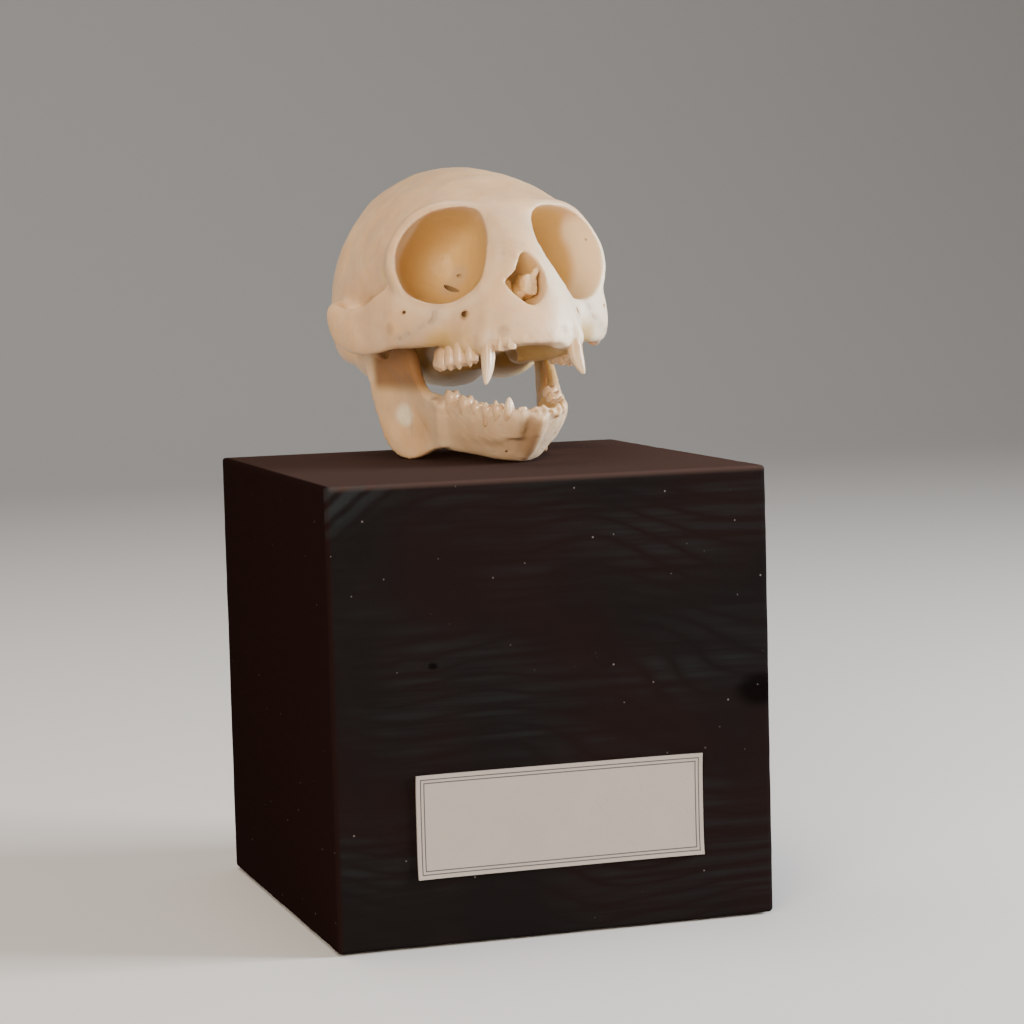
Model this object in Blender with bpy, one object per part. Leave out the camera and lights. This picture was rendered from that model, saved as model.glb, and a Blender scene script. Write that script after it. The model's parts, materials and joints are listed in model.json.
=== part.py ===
"""Skull of a common marmoset, jaw open, on a dark stained wooden block with a paper label.

The skull is modelled in millimetres in a frame of its own: x to the animal's left, y backward
from the front of the upper jaw, z up from the upper tooth sockets. The jaw has a like frame with
its zero under the chin. Both are then turned into their pose on the block and scaled to metres.
"""
import math

import bmesh
import bpy
import numpy as np
from mathutils import Matrix, Vector

MM = 0.001
GAP = 0.3

# wooden block and its label
BLOCK_SIDE = 50.0
BLOCK_ROUND = 0.7
LABEL_SIZE = (32.7, 11.2)
LABEL_THICK = 0.4
LABEL_CENTRE = (0.3, 13.05)

# pose of the upper skull and of the jaw over the block
SKULL_PLACE = (3.9, -10.5, BLOCK_SIDE + 13.4)
SKULL_YAW = math.radians(2.0)
SKULL_PITCH = math.radians(8.6)
JAW_PLACE = (3.45, -5.9, BLOCK_SIDE + GAP)
JAW_YAW = math.radians(3.4)

# braincase from brow to back: y, height of its widest level, half width, rise above, drop below
CASE_ROWS = (
    (7.2, 15.9, 4.0, 1.5, 1.6),
    (9.0, 14.6, 8.2, 4.0, 4.0),
    (11.6, 13.2, 11.0, 6.9, 7.0),
    (15.4, 12.2, 12.1, 9.8, 8.0),
    (20.5, 11.2, 12.6, 12.5, 8.0),
    (26.5, 10.4, 13.0, 14.5, 7.4),
    (32.5, 9.8, 13.4, 14.7, 6.8),
    (38.5, 9.2, 12.4, 12.6, 6.2),
    (43.0, 9.0, 9.8, 9.2, 5.2),
    (45.8, 9.0, 6.0, 5.4, 3.6),
    (46.8, 9.2, 2.2, 2.0, 1.4),
)

# face from the tooth sockets up to the brow: height, middle y, half width, reach forward and back
FACE_ROWS = (
    (-0.2, 10.5, 7.3, 10.3, 6.0),
    (1.5, 10.5, 7.8, 10.5, 6.5),
    (4.0, 10.5, 8.1, 9.9, 8.0),
    (6.5, 10.5, 7.3, 8.9, 9.0),
    (9.0, 10.5, 5.6, 8.3, 9.0),
    (11.3, 10.5, 4.1, 7.7, 9.0),
    (14.0, 11.0, 3.6, 6.6, 9.0),
    (17.0, 12.0, 4.2, 4.7, 8.0),
    (18.4, 13.0, 4.0, 3.6, 6.0),
)

# body of the jaw from the chin back to the branch: a point on the socket edge, a point on the
# lower border, and half the thickness at each
BODY_ROWS = (
    (0.0, -3.4, 6.3, 0.0, 1.1, 0.0, 1.6, 0.85),
    (1.9, -3.1, 6.3, 0.7, 1.3, 0.1, 1.5, 0.85),
    (3.2, -2.1, 6.3, 1.5, 1.9, 0.2, 1.4, 0.9),
    (4.2, -0.1, 6.4, 2.4, 3.2, 0.35, 1.3, 0.95),
    (5.0, 2.5, 6.5, 3.4, 5.2, 0.6, 1.25, 0.95),
    (5.75, 5.5, 6.9, 4.5, 7.8, 0.9, 1.15, 0.9),
    (6.5, 8.6, 7.6, 5.8, 10.1, 1.2, 0.9, 0.85),
    (7.6, 11.4, 8.0, 7.2, 12.2, 1.4, 0.6, 0.65),
    (8.7, 14.0, 8.0, 8.4, 14.4, 1.5, 0.35, 0.4),
)

# joint of the jaw in the jaw's own frame, and its half sizes
CONDYLE = (10.9, 22.3, 13.5)
CONDYLE_SIZE = (2.1, 1.2, 1.2)

# orbit: middle of the rim, direction inward and radii round it every 45 degrees from the side
ORBIT_CENTRE = (7.8, 9.2, 11.65)
ORBIT_FACING = (0.38, -0.92, 0.08)
ORBIT_INWARD = (-0.28, 0.96, -0.02)
ORBIT_DEPTH = 10.0
ORBIT_RADII = (5.15, 4.95, 5.4, 6.8, 5.35, 5.45, 5.6, 5.55)
RIM_WIDTH = 1.3

# pear shaped opening of the nose: centre height and radii every 45 degrees from the side
NOSE_HEIGHT = 7.7
NOSE_RADII = (2.35, 2.6, 3.4, 1.75, 2.45, 2.3, 3.0, 2.5)
NOSE_DEPTH = 5.5

# thickness of the jaw's flat branch
RAMUS_THICK = 1.1

# facets kept in the two bones
SKULL_FACES = 8600
JAW_FACES = 4200
VOXEL = 0.42
DECIMATE_SLACK = 0.4

BONE = ((0.76, 0.62, 0.45, 1.0), 0.45)
WOOD = ((0.018, 0.011, 0.009, 1.0), 0.55)
PAPER = ((0.52, 0.48, 0.45, 1.0), 0.8)


def clear_scene():
    """Remove the objects of the open file, so that the model starts from nothing."""
    for obj in list(bpy.data.objects):
        bpy.data.objects.remove(obj, do_unlink=True)


def material(name, look):
    """Return a Principled material from a colour and a roughness."""
    mat = bpy.data.materials.new(name)
    mat.use_nodes = True
    shader = mat.node_tree.nodes["Principled BSDF"]
    shader.inputs["Base Color"].default_value = look[0]
    shader.inputs["Roughness"].default_value = look[1]
    shader.inputs["Metallic"].default_value = 0.0
    return mat


def add_object(name, bm):
    """Turn a bmesh into a linked object."""
    mesh = bpy.data.meshes.new(name)
    bmesh.ops.recalc_face_normals(bm, faces=bm.faces)
    bm.to_mesh(mesh)
    bm.free()
    obj = bpy.data.objects.new(name, mesh)
    bpy.context.scene.collection.objects.link(obj)
    return obj


def ball(centre, radii, turn=(0.0, 0.0, 0.0), segments=40):
    """Return an ellipsoid, turned by x, y and z angles in degrees."""
    bm = bmesh.new()
    bmesh.ops.create_uvsphere(bm, u_segments=segments, v_segments=segments // 2, radius=1.0)
    spin = Matrix.Rotation(math.radians(turn[2]), 4, "Z")
    spin @= Matrix.Rotation(math.radians(turn[1]), 4, "Y")
    spin @= Matrix.Rotation(math.radians(turn[0]), 4, "X")
    place = Matrix.Translation(centre) @ spin @ Matrix.Diagonal((*radii, 1.0))
    bmesh.ops.transform(bm, matrix=place, verts=bm.verts)
    return add_object("ball", bm)


def rows_between(rows, steps):
    """Return the rows of numbers with a smooth curve of in-between rows."""
    table = np.array(rows, dtype=float)
    padded = np.vstack([2 * table[0] - table[1], table, 2 * table[-1] - table[-2]])
    dense = []
    for k in range(len(table) - 1):
        a, b, c, d = padded[k:k + 4]
        for t in np.linspace(0.0, 1.0, steps, endpoint=False):
            cubic = (2 * a - 5 * b + 4 * c - d) * t * t + (3 * b - 3 * c + d - a) * t ** 3
            dense.append(b + 0.5 * (c - a) * t + 0.5 * cubic)
    dense.append(table[-1])
    return np.array(dense)


def skin(rings):
    """Return a closed mesh over rings of equal length, with flat ends."""
    bm = bmesh.new()
    loops = [[bm.verts.new(p) for p in ring] for ring in rings]
    count = len(loops[0])
    for low, high in zip(loops, loops[1:]):
        for k in range(count):
            bm.faces.new((low[k], low[(k + 1) % count], high[(k + 1) % count], high[k]))
    bm.faces.new(loops[0])
    bm.faces.new(loops[-1])
    return bm


def strut(rows, steps=6, segments=20, power=2.3):
    """Return a tube through rows of x, y, z, half width across and half height."""
    table = rows_between(rows, steps)
    path = table[:, :3]
    rings = []
    for k, (centre, across, height) in enumerate(zip(path, table[:, 3], table[:, 4])):
        ahead = Vector(path[min(k + 1, len(path) - 1)] - path[max(k - 1, 0)]).normalized()
        side = ahead.cross(Vector((0.0, 0.0, 1.0))).normalized()
        upward = side.cross(ahead)
        rings.append([Vector(centre) + side * across * c + upward * height * s
                      for c, s in around(segments, power)])
    return add_object("strut", skin(rings))


def around(count, power):
    """Yield the cosine and sine of a squared off circle."""
    for n in range(count):
        angle = 2.0 * math.pi * n / count
        cos, sin = math.cos(angle), math.sin(angle)
        yield (math.copysign(abs(cos) ** (2.0 / power), cos),
               math.copysign(abs(sin) ** (2.0 / power), sin))


def hull(rows, steps=5, segments=56, power=2.1):
    """Return a form from front to back: rows of y, level, half width, rise and drop."""
    rings = []
    for y, level, across, rise, drop in rows_between(rows, steps):
        rings.append([Vector((across * c, y, level + (rise if s > 0 else drop) * s))
                      for c, s in around(segments, power)])
    return add_object("hull", skin(rings))


def stack(rows, steps=5, segments=56, power=2.3):
    """Return a form from below up: rows of height, middle y, half width, reach forward and back."""
    rings = []
    for z, middle, across, forward, back in rows_between(rows, steps):
        rings.append([Vector((across * c, middle + (back if s > 0 else forward) * s, z))
                      for c, s in around(segments, power)])
    return add_object("stack", skin(rings))


def outline(radii, extra=0.0, steps=5):
    """Return the smooth closed outline that passes through radii set at equal angles."""
    corners = []
    for n in range(-1, len(radii) + 2):
        angle = 2.0 * math.pi * n / len(radii)
        reach = radii[n % len(radii)] + extra
        corners.append((reach * math.cos(angle), reach * math.sin(angle)))
    return rows_between(corners, steps)[steps:-steps - 1]


def pit(centre, inward, depths, radii, side):
    """Return a cutter that narrows inward: its rows hold a depth and a width factor."""
    ahead = Vector(inward).normalized()
    across = Vector((0.0, 0.0, 1.0)).cross(ahead).normalized() * -1.0
    upward = across.cross(ahead) * -1.0
    if upward.z < 0:
        upward.negate()
    if across.x * side < 0:
        across.negate()
    rings = []
    edge = outline(radii)
    for depth, factor in depths:
        rings.append([Vector(centre) + ahead * depth + across * a * factor + upward * b * factor
                      for a, b in edge])
    return add_object("pit", skin(rings))


def bowl(depth, lead):
    """Return the depths and width factors of a round bottomed pit with a straight lead in."""
    rows = [(-lead, 1.06), (-0.5 * lead, 1.02), (0.0, 1.0)]
    for k in range(1, 9):
        angle = 0.5 * math.pi * k / 8.5
        rows.append((depth * math.sin(angle), max(math.cos(angle) ** 0.8, 0.05)))
    return rows


def mirrored(maker):
    """Run a maker for the left side, +1, and the right side, -1."""
    return [maker(1.0), maker(-1.0)]


def apply_modifier(obj, kind, **settings):
    """Add one modifier, set it and apply it to the object's mesh."""
    mod = obj.modifiers.new(kind.title(), kind)
    for key, value in settings.items():
        setattr(mod, key, value)
    bpy.context.view_layer.update()
    done = obj.evaluated_get(bpy.context.evaluated_depsgraph_get())
    mesh = bpy.data.meshes.new_from_object(done)
    obj.modifiers.clear()
    old = obj.data
    obj.data = mesh
    bpy.data.meshes.remove(old)


def merge(name, pieces):
    """Join pieces as loose shells of one object."""
    bm = bmesh.new()
    for piece in pieces:
        bm.from_mesh(piece.data)
        bpy.data.objects.remove(piece, do_unlink=True)
    return add_object(name, bm)


def fuse(name, pieces, voxel, rounds):
    """Melt overlapping pieces into one surface and ease its joins."""
    obj = merge(name, pieces)
    apply_modifier(obj, "REMESH", mode="VOXEL", voxel_size=voxel)
    apply_modifier(obj, "SMOOTH", factor=0.5, iterations=rounds)
    return obj


def collection_of(pieces):
    """Put pieces in a collection of their own."""
    group = bpy.data.collections.new("pieces")
    bpy.context.scene.collection.children.link(group)
    for piece in pieces:
        bpy.context.scene.collection.objects.unlink(piece)
        group.objects.link(piece)
    return group


def combine(obj, pieces, operation, solver="EXACT"):
    """Cut or join a whole group of closed pieces in one step, then remove them."""
    group = collection_of(pieces)
    apply_modifier(obj, "BOOLEAN", operation=operation, operand_type="COLLECTION",
                   collection=group, solver=solver)
    for piece in list(group.objects):
        bpy.data.objects.remove(piece, do_unlink=True)
    bpy.data.collections.remove(group)


def keep_largest(obj):
    """Drop every closed surface but the largest."""
    bm = bmesh.new()
    bm.from_mesh(obj.data)
    left = set(bm.verts)
    best = []
    while left:
        stack = [left.pop()]
        shell = []
        while stack:
            vert = stack.pop()
            shell.append(vert)
            for edge in vert.link_edges:
                other = edge.other_vert(vert)
                if other in left:
                    left.remove(other)
                    stack.append(other)
        if len(shell) > len(best):
            best = shell
    kept = set(best)
    bmesh.ops.delete(bm, geom=[v for v in bm.verts if v not in kept], context="VERTS")
    bm.to_mesh(obj.data)
    bm.free()


def thin_out(obj, faces):
    """Bring a dense surface down to about the wanted number of triangles."""
    apply_modifier(obj, "TRIANGULATE")
    share = min(1.0, faces / max(1, len(obj.data.polygons)))
    apply_modifier(obj, "DECIMATE", ratio=share)


def tooth(x, y, z, half_x, half_y, length, lean, root=1.6):
    """Return a crown: a cone with a rounded tip, length up or down, on a sunken root."""
    rows = ((-root / abs(length), 0.6), (0.0, 1.0), (0.45, 0.98), (0.75, 0.66), (0.95, 0.3), (1.0, 0.12))
    rings = []
    for share, width in rows:
        rings.append([Vector((x + lean[0] * share + c * half_x * width,
                              y + lean[1] * share + s * half_y * width,
                              z + share * length)) for c, s in around(8, 2.0)])
    return add_object("tooth", skin(rings))


def cheek_arch(s):
    """Return the cheek bone and the arch that runs back from it to the braincase."""
    return strut(((s * 6.4, 8.4, 4.5, 2.0, 2.9), (s * 9.2, 9.8, 4.5, 1.9, 3.2),
                  (s * 11.6, 11.8, 5.0, 1.5, 3.5), (s * 12.8, 14.6, 5.3, 1.0, 3.6),
                  (s * 14.0, 18.6, 4.7, 0.9, 3.1), (s * 15.0, 22.6, 5.2, 0.9, 2.7),
                  (s * 15.5, 26.0, 6.6, 1.0, 2.2), (s * 14.0, 28.8, 7.6, 1.6, 2.0),
                  (s * 11.0, 31.0, 7.8, 2.0, 1.6)))


def skull_forms():
    """Return the overlapping solids of the upper skull."""
    forms = [
        hull(CASE_ROWS),
        stack(FACE_ROWS),
        strut(((0, 18, 4.6, 5.4, 2.6), (0, 30, 3.8, 5.6, 2.6), (0, 39, 4.8, 5.0, 2.4))),
    ]
    forms += mirrored(orbit_drum)
    forms += mirrored(cheek_arch)
    forms += mirrored(lambda s: ball((s * 11.4, 27.4, 7.6), (3.6, 2.6, 1.5)))
    forms += mirrored(lambda s: ball((s * 6.9, 32.0, 3.1), (4.7, 6.0, 3.3)))
    forms += mirrored(lambda s: ball((s * 11.0, 34.5, 6.4), (2.4, 3.8, 4.0)))
    forms += mirrored(lambda s: ball((s * 3.3, 39.6, 3.4), (1.5, 2.5, 1.3), (20, 0, s * 20)))
    forms += mirrored(lambda s: strut(((s * 5.8, 14.6, 1.4, 1.0, 1.6), (s * 4.6, 18.2, 2.0, 0.7, 2.3),
                                       (s * 4.4, 21.8, 2.6, 0.7, 2.1))))
    forms.append(strut(((0, 25, 2.6, 3.0, 2.4), (0, 31, 1.6, 4.2, 2.7), (0, 37, 2.6, 4.0, 2.4))))
    return forms


def orbit_drum(s):
    """Return the thick tube of bone round one eye socket."""
    middle = Vector((s * ORBIT_CENTRE[0], ORBIT_CENTRE[1], ORBIT_CENTRE[2]))
    facing = Vector((s * ORBIT_FACING[0], *ORBIT_FACING[1:])).normalized()
    across = Vector((0.0, 0.0, 1.0)).cross(facing).normalized()
    if across.x * s < 0:
        across.negate()
    upward = across.cross(facing)
    if upward.z < 0:
        upward.negate()
    rings = []
    for depth, extra in ((-0.3, 0.6), (0.2, 1.0), (1.5, RIM_WIDTH), (4.0, 1.7), (9.0, 1.6)):
        rings.append([middle - facing * depth + across * a + upward * b
                      for a, b in outline(ORBIT_RADII, extra)])
    return add_object("drum", skin(rings))


def room_for(jaw):
    """Return a copy of the jaw, swollen by the gap and turned into the upper skull's frame."""
    room = bpy.data.objects.new("room", jaw.data.copy())
    bpy.context.scene.collection.objects.link(room)
    room.data.transform(pose_matrix(SKULL_PLACE, SKULL_YAW, SKULL_PITCH).inverted())
    apply_modifier(room, "DISPLACE", strength=GAP + DECIMATE_SLACK, mid_level=0.0)
    apply_modifier(room, "REMESH", mode="VOXEL", voxel_size=VOXEL)
    keep_largest(room)
    return room


def skull_cutters(jaw):
    """Return the hollows of the upper skull, the last with room for the joint of the jaw."""
    cutters = mirrored(lambda s: pit((s * ORBIT_CENTRE[0], ORBIT_CENTRE[1], ORBIT_CENTRE[2]),
                                     (s * ORBIT_INWARD[0], *ORBIT_INWARD[1:]),
                                     bowl(ORBIT_DEPTH, 6.0), ORBIT_RADII, s))
    cutters.append(pit((0.0, 2.6, NOSE_HEIGHT), (0, 1, -0.05), bowl(NOSE_DEPTH, 4.0), NOSE_RADII, 1.0))
    cutters.append(ball((0.0, 8.4, -0.7), (5.2, 7.6, 2.4)))
    cutters.append(strut(((-4.0, 0.7, -0.8, 1.5, 1.1), (0.0, 0.2, -0.8, 2.2, 1.15),
                          (4.0, 0.7, -0.8, 1.5, 1.1))))
    cutters.append(ball((0.0, 17.5, 1.2), (3.2, 5.5, 3.0)))
    cutters.append(ball((0.0, 43.6, 4.4), (3.4, 4.0, 2.9), (-35, 0, 0)))
    cutters += mirrored(lambda s: ball((s * 11.6, 21.4, 4.2), (2.6, 5.0, 4.6), (0, 0, s * 14)))
    cutters.append(room_for(jaw))
    return cutters


def upper_teeth():
    """Return the upper teeth: two fangs, cheek teeth on both sides, two right incisors."""
    cheek = ((6.2, 5.2, 0.72, 0.75, 2.0), (6.85, 7.0, 0.9, 0.85, 2.1), (7.2, 8.9, 1.0, 0.9, 2.0),
             (7.35, 11.1, 1.15, 1.15, 1.9), (7.1, 13.4, 0.95, 0.9, 1.4))
    teeth = [tooth(5.2, 2.5, 0.5, 0.82, 0.95, -3.7, (0.75, -0.4), root=2.2),
             tooth(-5.2, 2.5, 0.5, 0.82, 0.95, -4.4, (-0.75, -0.4), root=2.2)]
    for s in (1.0, -1.0):
        for x, y, half_x, half_y, length in cheek:
            teeth.append(tooth(s * x, y, 0.4, half_x, half_y, -length, (0.0, 0.0)))
    teeth.append(tooth(-2.9, 1.0, 1.3, 0.5, 0.5, -1.5, (0.0, -0.3)))
    teeth.append(tooth(-3.9, 1.5, 1.1, 0.45, 0.5, -1.5, (-0.1, -0.2)))
    return teeth


def jaw_branch(s):
    """Return one flat branch of the jaw, from the corner on the block up to its joint."""
    outline = ((8.6, 1.5), (10.6, 1.2), (12.2, 0.5), (14.2, 0.0), (17.0, 0.5), (19.2, 2.3), (21.0, 5.6),
               (22.2, 9.0), (23.1, 12.2), (22.0, 13.6), (20.2, 12.0), (18.0, 11.8), (16.4, 13.8),
               (15.2, 15.4), (14.4, 14.4), (13.6, 11.8), (12.0, 9.6), (9.8, 7.6), (7.2, 6.4))
    rows = rows_between(outline + outline[:1], 3)[:-1]
    bm = bmesh.new()
    faces = []
    for shift in (-0.5, 0.5):
        verts = []
        for y, z in rows:
            lean_in = 0.035 * max(z - 9.0, 0.0) * max(19.0 - y, 0.0)
            lean_in += 0.06 * max(6.0 - z, 0.0) * max(14.0 - y, 0.0)
            lean_in += (0.2 if s > 0 else 0.0) * max(4.0 - z, 0.0)
            out = 7.6 + 0.21 * (y - 8.0) + 0.02 * (z - 5.0) - lean_in
            verts.append(bm.verts.new((s * (out + shift * RAMUS_THICK), y, z)))
        faces.append(bm.faces.new(verts))
    count = len(rows)
    inner, outer = [list(face.verts) for face in faces]
    for k in range(count):
        bm.faces.new((inner[k], inner[(k + 1) % count], outer[(k + 1) % count], outer[k]))
    return add_object("branch", bm)


def jaw_body():
    """Return the body of the jaw, one slab that bends round the chin."""
    rows = [(-x, y, z, -low_x, *rest) for x, y, z, low_x, *rest in BODY_ROWS[:0:-1]]
    table = rows_between(rows + list(BODY_ROWS), 4)
    middle = (table[:, 0:3] + table[:, 3:6]) / 2.0
    rings = []
    for k, row in enumerate(table):
        ahead = middle[min(k + 1, len(table) - 1)] - middle[max(k - 1, 0)]
        side = Vector((ahead[1], -ahead[0], 0.0)).normalized()
        upright = Vector((row[0:3] - row[3:6]) / 2.0)
        mean, taper = (row[6] + row[7]) / 2.0, (row[6] - row[7]) / 2.0
        rings.append([Vector(middle[k]) + upright * s + side * c * (mean + taper * s)
                      for c, s in around(28, 2.7)])
    return add_object("body", skin(rings))


def jaw_forms():
    """Return the overlapping solids of the lower jaw."""
    forms = [jaw_body()]
    forms += mirrored(jaw_branch)
    forms += mirrored(lambda s: ball((s * CONDYLE[0], *CONDYLE[1:]), CONDYLE_SIZE))
    return forms


def lower_teeth():
    """Return the lower teeth; the left front ones are missing, as are three incisors."""
    row = ((2.95, -3.0, 5.6, 0.6, 0.6, 2.1), (3.8, -1.8, 5.6, 0.7, 0.85, 2.0),
           (4.4, -0.2, 5.6, 0.8, 1.0, 1.6), (4.9, 1.8, 5.7, 0.85, 1.05, 1.7),
           (5.45, 4.3, 6.0, 0.95, 1.3, 2.0), (6.1, 7.1, 6.6, 0.9, 1.3, 1.9))
    teeth = []
    for s in (1.0, -1.0):
        for k, (x, y, z, half_x, half_y, length) in enumerate(row):
            if s > 0 and k < 2:
                continue
            teeth.append(tooth(s * x, y, z, half_x, half_y, length, (0.0, -0.2)))
    teeth.append(tooth(-1.6, -3.6, 5.6, 0.5, 0.45, 1.1, (0.0, -0.2)))
    return teeth


def pose_matrix(place, yaw, pitch):
    """Return the turn and place of a bone over the block, in metres."""
    turn = Matrix.Rotation(yaw, 4, "Z") @ Matrix.Rotation(-pitch, 4, "X")
    return Matrix.Scale(MM, 4) @ Matrix.Translation(place) @ turn


def finish(obj, mat):
    """Shade the piece smooth with crisp edges and give it its material."""
    obj.data.shade_smooth()
    obj.data.set_sharp_from_angle(angle=math.radians(50))
    obj.data.materials.clear()
    obj.data.materials.append(mat)


def make_cranium(mat, jaw):
    """Model the upper skull with its teeth, clear of the jaw."""
    obj = fuse("cranium", skull_forms(), VOXEL, 8)
    combine(obj, skull_cutters(jaw), "DIFFERENCE")
    apply_modifier(obj, "REMESH", mode="VOXEL", voxel_size=VOXEL)
    apply_modifier(obj, "SMOOTH", factor=0.5, iterations=3)
    keep_largest(obj)
    thin_out(obj, SKULL_FACES)
    combine(obj, upper_teeth(), "UNION")
    keep_largest(obj)
    obj.data.transform(pose_matrix(SKULL_PLACE, SKULL_YAW, SKULL_PITCH))
    finish(obj, mat)
    return obj


def make_mandible(mat):
    """Model the lower jaw with its teeth."""
    obj = fuse("mandible", jaw_forms(), VOXEL * 0.8, 5)
    keep_largest(obj)
    thin_out(obj, JAW_FACES)
    combine(obj, lower_teeth(), "UNION")
    keep_largest(obj)
    obj.data.transform(pose_matrix(JAW_PLACE, JAW_YAW, 0.0))
    finish(obj, mat)
    return obj


def make_block(mat):
    """Model the stained block with softly rounded edges."""
    bm = bmesh.new()
    bmesh.ops.create_cube(bm, size=BLOCK_SIDE * MM)
    bmesh.ops.translate(bm, vec=(0.0, 0.0, BLOCK_SIDE / 2 * MM), verts=bm.verts)
    bmesh.ops.bevel(bm, geom=bm.edges[:], offset=BLOCK_ROUND * MM, segments=3, affect="EDGES",
                    profile=0.5)
    obj = add_object("block", bm)
    finish(obj, mat)
    return obj


def make_label(mat):
    """Model the paper label on the front of the block."""
    bm = bmesh.new()
    bmesh.ops.create_cube(bm, size=1.0)
    size = (LABEL_SIZE[0] * MM, LABEL_THICK * MM, LABEL_SIZE[1] * MM)
    front = -(BLOCK_SIDE / 2 + GAP + LABEL_THICK / 2) * MM
    place = Matrix.Translation((LABEL_CENTRE[0] * MM, front, LABEL_CENTRE[1] * MM))
    bmesh.ops.transform(bm, matrix=place @ Matrix.Diagonal((*size, 1.0)), verts=bm.verts)
    obj = add_object("label", bm)
    finish(obj, mat)
    return obj


def main():
    """Build the four pieces."""
    clear_scene()
    bone = material("bone", BONE)
    jaw = make_mandible(bone)
    make_cranium(bone, jaw)
    make_block(material("stained_wood", WOOD))
    make_label(material("paper", PAPER))


main()
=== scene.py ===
"""Marmoset skull with its jaw open, on a dark stained block with a ruled paper label.

The two bones are modelled in millimetres, each in a frame of its own: x to the animal's left,
y backward and z up. The upper skull's zero is the front of its tooth sockets, the jaw's is under
its chin. Both are posed on the block and scaled to metres when they are finished.
"""
import json
import logging
import math
from dataclasses import dataclass, replace
from enum import Enum
from typing import Iterable, Optional, Sequence

import bpy
import numpy as np
from mathutils import Matrix, Vector, noise
from mathutils.bvhtree import BVHTree

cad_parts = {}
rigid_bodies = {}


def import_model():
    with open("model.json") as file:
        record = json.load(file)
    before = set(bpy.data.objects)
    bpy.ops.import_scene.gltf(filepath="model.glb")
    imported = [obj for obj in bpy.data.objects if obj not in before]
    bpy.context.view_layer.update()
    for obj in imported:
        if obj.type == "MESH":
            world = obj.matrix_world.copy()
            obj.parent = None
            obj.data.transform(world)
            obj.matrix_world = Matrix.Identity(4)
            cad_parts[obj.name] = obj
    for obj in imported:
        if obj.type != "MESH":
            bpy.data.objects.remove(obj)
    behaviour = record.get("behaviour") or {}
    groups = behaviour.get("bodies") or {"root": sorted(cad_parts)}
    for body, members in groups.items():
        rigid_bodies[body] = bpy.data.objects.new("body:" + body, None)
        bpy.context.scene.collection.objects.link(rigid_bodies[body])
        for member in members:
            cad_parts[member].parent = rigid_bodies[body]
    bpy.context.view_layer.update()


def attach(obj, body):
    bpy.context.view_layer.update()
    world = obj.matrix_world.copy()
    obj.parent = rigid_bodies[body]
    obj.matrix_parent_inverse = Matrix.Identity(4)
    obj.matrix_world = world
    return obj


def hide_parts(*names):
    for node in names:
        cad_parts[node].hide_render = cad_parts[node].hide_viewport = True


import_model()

LOG = logging.getLogger("skull")
MM = 0.001
GOLDEN_ANGLE = 2.399963
Row = Sequence[float]
Colour = tuple[float, float, float]


class Side(Enum):
    """The animal's own left and right."""

    LEFT = 1.0
    RIGHT = -1.0


SIDES = tuple(side.value for side in Side)


class Tooth(Enum):
    """The kinds of teeth, by the number of cusps on their crowns."""

    INCISOR = 0
    CANINE = 1
    PREMOLAR = 2
    MOLAR = 4


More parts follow.
